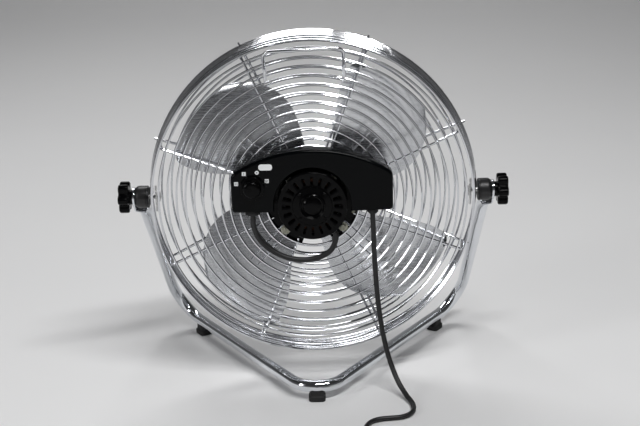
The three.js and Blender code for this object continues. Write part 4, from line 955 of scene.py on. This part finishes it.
def mount_plate_form():
    """A flat ring with a notch at the bottom: its outer radius drops within the notch's angles,
    over a degree at each side."""
    angle = np.arange(240) / 240 * TAU
    low, high = math.radians(254), math.radians(292)
    share = np.clip((angle - low) / 0.02, 0, 1) * np.clip((high - angle) / 0.02, 0, 1)
    outer = 50 - 9.5 * share
    section = [(33, 0, PLATE_FRONT), (33, 0, PLATE_REAR), (0, 0.5, PLATE_REAR), (0, 0, PLATE_REAR + 0.5)]
    section += [(0, 0, PLATE_FRONT - 0.5), (0, 0.5, PLATE_FRONT)]
    rows = []
    for bore, drawn_in, along in section:
        radius = np.full(240, float(bore)) if bore else outer - drawn_in
        rows.append(np.column_stack([radius * np.cos(angle), np.full(240, along), radius * np.sin(angle)]))
    return Shells().grid(turned(np.array(rows), GUARD_TURN), along=True)


def cross_recess(grid, centre, depth, reach=2.1, half=0.45):
    """Presses a cross into the first rows of a head: a point sinks where it lies within half of
    one arm's middle line and within reach of the centre."""
    u = np.abs(grid[..., 0] - centre[0])
    v = np.abs(grid[..., 2] - centre[1])
    near, far = np.minimum(u, v), np.maximum(u, v)
    share = np.clip((half + 0.15 - near) / 0.3, 0, 1) * np.clip((reach - far) / 0.3, 0, 1)
    pressed = grid.copy()
    pressed[..., 1] += depth * share
    return pressed


def mount_screws_form():
    """Pan head screws with cross recesses on round washers, one in each hairpin pair."""
    shells = Shells()
    inside = [(r, -31.1 + 0.02 * r * r) for r in np.linspace(0, 2.4, 13)]
    head = inside + [(3.0, -30.8), (3.4, -30.3), (3.6, -29.6), (3.6, -28.75), (0, -28.75)]
    washer = rounded([(2.2, -28.7), (4.9, -28.7), (4.9, -27.7), (2.2, -27.7)], 0.2, 2, True)
    pitch = np.arange(24)
    thread = [(2.0 - 0.22 * (k % 2), -27.8 + 0.38 * k) for k in pitch]
    thread = [(0, -27.8)] + thread + [(0, -27.8 + 0.38 * 24)]
    small = [(0, -24.5), (1.0, -24.4), (1.7, -24.0), (2.0, -23.6), (2.0, -23.3), (0, -23.3)]
    for i in range(4):
        angle = TAU * (i + 0.5) / 4
        grid = cross_recess(revolved(head, 72), (0, 0), 0.9)
        spot = (42.6, 0, 0)
        shells.grid(turned(turned(grid, 0.5 + i) + spot, angle), ends=False)
        shells.grid(turned(revolved(washer, 40) + spot, angle), along=True)
        shells.grid(turned(revolved(thread, 20) + spot, angle), ends=False)
    shells.grid(revolved(small, 24, centre=(41.6, 0, -15.6)), ends=False)
    shells.points = [turned(p, GUARD_TURN) for p in shells.points]
    return shells


def motor_lead_form():
    """A round sleeve from the box's bush to the motor's side, with a grommet where it goes in."""
    entry = np.array([math.cos(math.radians(-56)), 0, math.sin(math.radians(-56))])
    before = entry * 42.1 + [0, -36.6, 0]
    end = entry * 36.3 + [0, -36.6, 0]
    middle = [(-62, -38, -22), (-57, -37, -37), (-45, -37, -50), (-25, -37, -60), (0, -37, -61), (18, -36, -52)]
    line = smooth_through([(-62, -39.5, -11.3), (-62, -39.5, -17.1), *middle, before, end])
    shells = Shells().grid(swept(evenly(line, 1.6), circle(2.9, 20)))
    ring = [entry * r + [0, -36.6, 0] for r in (36.5, 37.0, 38.2, 38.8)]
    size = np.array([4.2, 4.5, 4.3, 3.4])[:, None, None]
    return shells.grid(swept(np.array(ring), circle(1, 24)[None] * size))


piece("motor_rear_cover_form", motor_rear_cover_form(), GLOSS_ENAMEL, "head", ["motor_rear_cover"], 32)
piece("motor_front_cover_form", motor_front_cover_form(), PLATE_ENAMEL, "head", ["motor_front_cover"])
piece("mount_plate_form", mount_plate_form(), PLATE_ENAMEL, "head", ["mount_plate"])
screws = ["mount_screw_1", "mount_screw_2", "mount_screw_3", "mount_screw_4"]
piece("mount_screws_form", mount_screws_form(), YELLOW_ZINC, "head", screws)
piece("motor_lead_sleeve", motor_lead_form(), CORD_SLEEVE, "head", ["motor_lead"])

# Control box


def box_sides():
    """The box's outline in four runs, counter-clockwise from the lower right corner: over the top,
    the left foot, the motor's arch, the right foot. The top is an arc through peak and shoulders."""
    rise = BOX_PEAK - BOX_SHOULDER
    radius = (BOX_HALF**2 + rise**2) / (2 * rise)
    middle = BOX_PEAK - radius
    shoulder_x = BOX_HALF - BOX_CORNER
    angle = math.acos(shoulder_x / radius)
    side_top = middle + math.sqrt(radius**2 - BOX_HALF**2) - BOX_CORNER / 2
    low = bend((shoulder_x, BOX_BOTTOM), (BOX_HALF, BOX_BOTTOM), (BOX_HALF, BOX_BOTTOM + BOX_CORNER), 10)
    start, corner = (BOX_HALF, side_top - BOX_CORNER / 2), (BOX_HALF, side_top + BOX_CORNER / 2)
    high = bend(start, corner, (shoulder_x, middle + radius * math.sin(angle)), 10)
    sweep = np.linspace(angle, math.pi / 2, 60)[1:]
    top = np.column_stack([radius * np.cos(sweep), middle + radius * np.sin(sweep)])
    half = np.concatenate([low, high, top])
    over = resampled(np.concatenate([half, half[::-1][1:] * [-1, 1]]), 301)
    arch_angle = math.asin(BOX_BOTTOM / BOX_ARCH)
    reach = BOX_ARCH * math.cos(arch_angle)
    sweep = np.linspace(math.pi - arch_angle - 0.04, arch_angle + 0.04, 200)
    arc = BOX_ARCH * np.column_stack([np.cos(sweep), np.sin(sweep)])
    left_end = bend((-reach - 1.6, BOX_BOTTOM), (-reach, BOX_BOTTOM), arc[0], 6)
    arch = resampled(np.concatenate([left_end, arc[1:-1], left_end[::-1] * [-1, 1]]), 301)
    return over, arch


def control_box_form():
    """A moulded shell: its outline runs down the side and is drawn in along a quarter circle to
    the face, by three millimetres outside and by a third of that at the arch."""
    over, arch = box_sides()
    steps = np.linspace(0, 1, 22)[1:-1, None]
    left = over[-1] * (1 - steps) + arch[0] * steps
    right = arch[-1] * (1 - steps) + over[0] * steps
    outline = np.concatenate([over, left, arch, right])
    weight = np.concatenate([np.ones(301), 1 - 0.65 * steps[:, 0], np.full(301, 0.35), 0.35 + 0.65 * steps[:, 0]])
    rows = [(inset(outline, 2.0), BOX_FACE + 2.2), (inset(outline, 2.0), BOX_FRONT)]
    rows += [(inset(outline, 0.5), BOX_FRONT), (inset(outline, 0.1), BOX_FRONT - 0.3), (outline, BOX_FRONT - 0.8)]
    for angle in np.linspace(0, math.pi / 2, 8):
        drawn_in = 3.0 * weight * (1 - math.cos(angle))
        rows.append((inset(outline, drawn_in), BOX_FACE + 3.0 * weight * (1 - math.sin(angle))))
    grid = stacked(rows)
    shells = Shells().grid(grid, ends=False)
    rim = grid[-1]
    outer, inner = rim[:301], rim[321:622][::-1]
    share = np.linspace(0, 1, 22)[:, None, None]
    face = outer[None] * (1 - share) + inner[None] * share
    face[1:-1, -1] = rim[301:321]
    face[1:-1, 0] = rim[622:][::-1]
    shells.grid(face, around=False, ends=False)
    return shells


def printed_patch(shape, level=0.0):
    """A thin film of ink on the box's face in that outline."""
    return stacked([(shape, BOX_FACE + 0.02 - level), (shape, BOX_FACE - 0.08 - level)])


def dial_marks():
    """Four white marks round the knob and a pill above it."""
    shells = Shells()
    for degrees, round_mark in ((165, False), (118, False), (71, True), (24, False)):
        angle = math.radians(degrees)
        spot = np.array([KNOB_X + 16.7 * math.cos(angle), KNOB_Z + 16.7 * math.sin(angle)])
        shape = circle(2.1, 28) if round_mark else box_outline(4.1, 4.1, 0.5)
        shells.grid(printed_patch(shape + spot))
    shells.grid(printed_patch(box_outline(14.0, 6.4, 3.1, 8) + [-46.8, 41.8]))
    return shells


def mark_digits():
    """Small dark strokes on the marks: a ring for off, and one, two or three bars."""
    shells = Shells()
    for degrees, bars in ((165, (-0.9, 0.9)), (118, (0.0,)), (24, (-1.1, 0.0, 1.1))):
        angle = math.radians(degrees)
        spot = np.array([KNOB_X + 16.7 * math.cos(angle), KNOB_Z + 16.7 * math.sin(angle)])
        for bar in bars:
            shells.grid(printed_patch(box_outline(0.55, 2.6, 0.1, 2) + spot + [bar, 0], 0.05))
    angle = math.radians(71)
    spot = np.array([KNOB_X + 16.7 * math.cos(angle), KNOB_Z + 16.7 * math.sin(angle)])
    shells.grid(printed_patch(circle(0.75, 20) + spot, 0.05))
    return shells


def speed_knob_form():
    """A turned knob: a rimmed skirt, a domed cap with fine grip flutes and a raised pointer."""
    profile = [(0, -47.6), (12.3, -47.6), (12.6, -47.9), (12.6, -50.0), (12.3, -50.8), (11.6, -51.1), (10.6, -51.0)]
    profile += [(9.7, -51.3), (9.3, -52.0), (9.15, -53.0), (9.0, -54.0), (8.9, -55.0), (8.8, -56.0), (8.6, -57.0)]
    profile += [(8.0, -57.9), (7.0, -58.4), (5.5, -58.6), (3.5, -58.68), (0, -58.7)]
    profile = np.array(profile)
    angle = np.arange(144) / 144 * TAU
    grip = np.exp(-(((profile[:, 1] + 54.5) / 1.9) ** 4)) * (profile[:, 0] < 9.5)
    flute = 1 - 0.022 * grip[:, None] * np.cos(24 * angle) ** 2
    grid = revolved(profile, 144) * np.stack([flute, np.ones_like(flute), flute], axis=-1)
    shells = Shells().grid(grid, ends=False)
    bar = box_outline(7.6, 2.8, 0.9, 4) + [4.2, 0]
    pointer = stacked([(bar, -58.3), (bar, -59.1), (inset(bar, 0.25), -59.4)])
    shells.grid(turned(pointer, math.radians(165)))
    shells.points = [moved(p, x=KNOB_X, z=KNOB_Z) for p in shells.points]
    return shells


def gland_form(x, wide):
    """A moulded bush under the box, stretched across by wide, with two rings."""
    profile = [(0, -6.4), (5.6, -6.4), (5.8, -6.8), (5.8, -8.0), (5.4, -8.3), (5.4, -8.7), (5.8, -9.0), (5.8, -9.6)]
    profile += [(5.4, -9.95), (4.7, -10.1), (4.4, -10.4), (4.4, -11.0), (2.6, -11.05), (0, -11.05)]
    grid = revolved(profile, 40, axis="z") * [wide, 1, 1]
    return Shells().grid(moved(grid, x=x, y=GLAND_PLANE), ends=False)


piece("control_box_form", control_box_form(), BOX_MOULDING, "head", ["control_box_cover"], 30)
piece("dial_marks", dial_marks(), PRINT_WHITE, "head")
piece("mark_digits", mark_digits(), PRINT_BLACK, "head")
piece("speed_knob_form", speed_knob_form(), KNOB_MOULDING, "speed_knob", ["speed_knob"], 40)
piece("lead_gland_form", gland_form(-GLAND_X, 1.35), GLAND_RUBBER, "head", ["lead_gland"])
piece("cord_gland_form", gland_form(GLAND_X, 1.0), GLAND_RUBBER, "head", ["cord_gland"])

# Pivots


def two_sided(form, name, material, node, bodies=("head", "head"), crease=35):
    """One form for the side of positive X, and its mirror image for the other."""
    for side, body in zip(("right", "left"), bodies):
        shells = form()
        if side == "left":
            shells.points = [p * [-1, 1, 1] for p in shells.points]
        piece(name + "_" + side, shells, material, body, [node + "_" + side], crease)


def spacer_form():
    """A moulded distance piece with a wide chamfer at the arm and a fine groove at the guard."""
    profile = [(2.7, 173.9), (10.6, 173.9), (11.6, 174.6), (11.9, 175.4), (11.9, 176.2), (11.6, 176.5), (11.9, 176.8)]
    profile += [(11.9, 184.6), (11.6, 185.6), (10.0, 188.1), (9.4, 188.5), (2.7, 188.5)]
    return Shells().grid(revolved(profile, 64, axis="x"), along=True)


def clamp_knob_form():
    """A six lobed grip: its radius drops from each lobe into a valley along a raised cosine, and
    it is rounded to both faces. A plain hub stands on its inner side."""
    angle = np.arange(192) / 192 * TAU
    lobed = 17.1 - 4.6 * ((1 - np.cos(6 * angle)) / 2) ** 1.5
    around = np.ones(192)
    rows = [(2.7 * around, 202.6), (2.7 * around, 191.6), (7.6 * around, 191.6), (8.0 * around, 192.0)]
    rows += [(8.0 * around, 194.2), (8.3 * around, 194.6)]
    for drawn_in, along in ((3.0, 194.6), (1.5, 194.75), (0.6, 195.2), (0.15, 195.9), (0, 196.8)):
        rows.append((lobed - drawn_in, along))
    for drawn_in, along in ((0, 203.2), (0.15, 204.1), (0.6, 204.9), (1.5, 205.4), (3.0, 205.6)):
        rows.append((lobed - drawn_in, along))
    rows += [(8.4 * around, 205.5), (7.8 * around, 205.2), (7.2 * around, 204.8), (3.0 * around, 204.8), (0 * around, 204.8)]
    grid = [np.column_stack([np.full(192, along), r * np.cos(angle), r * np.sin(angle)]) for r, along in rows]
    grid[0] = grid[0] * [1, 0, 0]
    return Shells().grid(np.array(grid), ends=False)


def bolt_form():
    """A pan head with a cross recess, and its shank through bracket, spacer, arm and knob."""
    inside = [(r, 161.6 + 0.02 * r * r) for r in np.linspace(0, 4.2, 20)]
    profile = inside + [(5.2, 162.3), (5.8, 163.1), (6.0, 163.9), (6.0, 164.6), (2.4, 164.6), (2.4, 202.0), (0, 202.2)]
    grid = cross_recess(revolved(profile, 80), (0, 0), 1.4, 3.2, 0.6)
    grid[21:] = revolved(profile, 80)[21:]
    return Shells().grid(lying(grid), ends=False)


# The side band's radius in line with the bolts, and the bracket's outer face inside it
BAND_AT_BOLT = np.interp(0.0, [REAR_FACE, FRONT_RIM], [REAR_RIM_RADIUS, FRONT_RIM_RADIUS])
BRACKET_OUTER = float(BAND_AT_BOLT) - RING_WIRE - 2.7


def bracket_form():
    """A bent-over plate that leans with the side band."""
    lean = math.atan2(FRONT_RIM_RADIUS - REAR_RIM_RADIUS, FRONT_RIM - REAR_FACE)
    shape = box_outline(20.0, 24.0, 3.0) + [-7.4, 0]
    rows = []
    for drawn_in, along in ((0.4, -2.0), (0, -1.6), (0, -0.4), (0.4, 0.0)):
        drawn = inset(shape, drawn_in)
        rows.append(np.column_stack([np.full(len(shape), along), drawn[:, 0], drawn[:, 1]]))
    grid = np.array(rows)
    c, s = math.cos(lean), math.sin(lean)
    x = grid[..., 0] * c + grid[..., 1] * s + BRACKET_OUTER
    return Shells().grid(np.stack([x, -grid[..., 0] * s + grid[..., 1] * c, grid[..., 2]], axis=-1))


two_sided(spacer_form, "pivot_spacer_form", SATIN_MOULDING, "pivot_spacer")
two_sided(bolt_form, "pivot_bolt_form", BRIGHT_STEEL, "pivot_bolt")
two_sided(bracket_form, "pivot_bracket_form", BRIGHT_STEEL, "pivot_bracket")
knob_bodies = ("clamp_knob_right", "clamp_knob_left")
two_sided(clamp_knob_form, "clamp_knob_form", KNOB_MOULDING, "clamp_knob", knob_bodies)

# Plug


def plug_frame(points):
    """Points along, across and above the plug's line, put where the cord ends."""
    onward = cord_line[-1] - cord_line[-3]
    onward[2] = 0
    onward /= np.linalg.norm(onward)
    across = np.array([-onward[1], onward[0], 0])
    start = cord_line[-1] + onward * 0.3
    return start + points[..., :1] * onward + points[..., 1:2] * across + points[..., 2:] * [0, 0, 1]


def plug_form():
    """A moulded plug: its section is a rounded rectangle that widens from the cord and has grip
    ridges, square with softened edges at the blades' face."""
    along = np.concatenate([[0, 0.4], np.linspace(1.2, 24.6, 40), [25.3, 25.8, 26.0]])
    grow = np.clip(along / 15.0, 0, 1)
    grow = grow * grow * (3 - 2 * grow)
    half_width = 4.6 + (12.0 - 4.6) * grow
    half_height = 4.0 + (8.5 - 4.0) * grow
    ridge = 0.35 * np.clip(np.cos(along / 2.6 * TAU), 0, 1) * (along > 3) * (along < 12)
    soft = np.interp(along, [0, 0.4, 1.2, 24.6, 25.3, 25.8, 26.0], [1.6, 0.6, 0, 0, 0.25, 0.8, 1.3])
    angle = np.arange(48) / 48 * TAU
    cosine, sine = np.cos(angle), np.sin(angle)
    y = (half_width - soft - ridge)[:, None] * np.sign(cosine) * np.abs(cosine) ** 0.55
    z = (half_height - soft - ridge)[:, None] * np.sign(sine) * np.abs(sine) ** 0.55
    grid = np.stack([np.repeat(along[:, None], 48, 1), y, z], axis=-1)
    return Shells().grid(plug_frame(grid))


def plug_blade_form(side):
    """A flat contact blade with a drawn-in tip."""
    shape = box_outline(1.5, 6.2, 0.3, 2)
    rows = []
    for along, share in ((18.2, 1), (40.5, 1), (42.0, 0.86), (42.8, 0.66), (43.0, 0.5)):
        rows.append(np.column_stack([np.full(len(shape), along), shape[:, 0] * share + side * 6.35, shape[:, 1] * share]))
    return Shells().grid(plug_frame(np.array(rows)))


plug = piece("plug_form", plug_form(), CORD_SLEEVE, "stand", ["plug_body"])
first_blade = piece("plug_blade_form_1", plug_blade_form(-1), PLUG_BRASS, "stand", ["plug_blade_1"])
second_blade = piece("plug_blade_form_2", plug_blade_form(1), PLUG_BRASS, "stand", ["plug_blade_2"])


def show_nodes(material, *nodes):
    for node in nodes:
        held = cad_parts[node].data.materials
        held.clear()
        held.append(material)


show_nodes(DARK_STEEL, "stator_core", "rotor_core")
show_nodes(ZINC_STEEL, "motor_shaft")
show_nodes(COPPER_WIRE, "stator_winding")
show_nodes(BEARING_BRONZE, "bearing_rear", "bearing_front")
show_nodes(SATIN_MOULDING, "control_box_base", "rotary_switch", "run_capacitor")

# Floor, light and world


def studio_floor():
    """A wide plain floor that curves up into a backdrop."""
    run = np.array([(-6.0, 0.0), (1.6, 0.0), (2.4, 0.12), (2.9, 0.5), (3.1, 1.2), (3.1, 4.0)])
    run = rounded(run, 0.4, 6)
    x = np.array([-6.0, 6.0])
    grid = np.stack(
        [np.repeat(x[None], len(run), 0), np.repeat(run[:, :1], 2, 1), np.repeat(run[:, 1:], 2, 1)], axis=-1
    )
    mesh = bpy.data.meshes.new("studio_floor")
    index = np.arange(len(run) * 2).reshape(-1, 2)
    quads = np.stack([index[:-1, 0], index[:-1, 1], index[1:, 1], index[1:, 0]], axis=-1)
    mesh.from_pydata(grid.reshape(-1, 3).tolist(), [], quads.tolist())
    mesh.shade_smooth()
    paint = Paint("studio_floor")
    grain = paint.noise(3.0, 3.0)
    paint.set(Base_Color=paint.mix(grain, (0.80, 0.80, 0.80), (0.77, 0.77, 0.775)), Roughness=0.7)
    mesh.materials.append(paint.material)
    floor = bpy.data.objects.new("studio_floor", mesh)
    bpy.context.scene.collection.objects.link(floor)


def soft_light(name, at, wide, high, power, aim=(0, 0, 0.2)):
    """A soft box of that width and height at a place, turned to its aim."""
    lamp = bpy.data.lights.new(name, "AREA")
    lamp.shape = "RECTANGLE"
    lamp.size = wide
    lamp.size_y = high
    lamp.energy = power
    made = bpy.data.objects.new(name, lamp)
    bpy.context.scene.collection.objects.link(made)
    made.location = at
    made.rotation_euler = (Vector(aim) - Vector(at)).to_track_quat("-Z", "Y").to_euler()


def studio_world():
    """Pale at the horizon and darker overhead, so that bright metal has something to show."""
    world = bpy.data.worlds.new("studio_world")
    bpy.context.scene.world = world
    world.use_nodes = True
    tree = world.node_tree
    place_node = tree.nodes.new("ShaderNodeTexCoord")
    split = tree.nodes.new("ShaderNodeSeparateXYZ")
    ramp = tree.nodes.new("ShaderNodeValToRGB")
    tree.links.new(place_node.outputs["Generated"], split.inputs[0])
    tree.links.new(split.outputs["Z"], ramp.inputs[0])
    stops = [(0.0, 0.2), (0.12, 0.13), (0.35, 0.05), (0.7, 0.03), (1.0, 0.05)]
    while len(ramp.color_ramp.elements) < len(stops):
        ramp.color_ramp.elements.new(0.5)
    for element, (at, grey) in zip(ramp.color_ramp.elements, stops):
        element.position = at
        element.color = (grey, grey, grey * 1.02, 1)
    background = tree.nodes["Background"]
    tree.links.new(ramp.outputs[0], background.inputs["Color"])
    background.inputs["Strength"].default_value = 1.0


studio_floor()
studio_world()
soft_light("key_light", (0.45, -1.0, 1.9), 1.3, 0.12, 28)
soft_light("fill_light", (-1.7, -1.2, 0.9), 0.3, 0.8, 9)
soft_light("back_light", (-0.4, 1.4, 1.9), 1.4, 0.5, 19)

bpy.context.scene.view_settings.view_transform = "Standard"
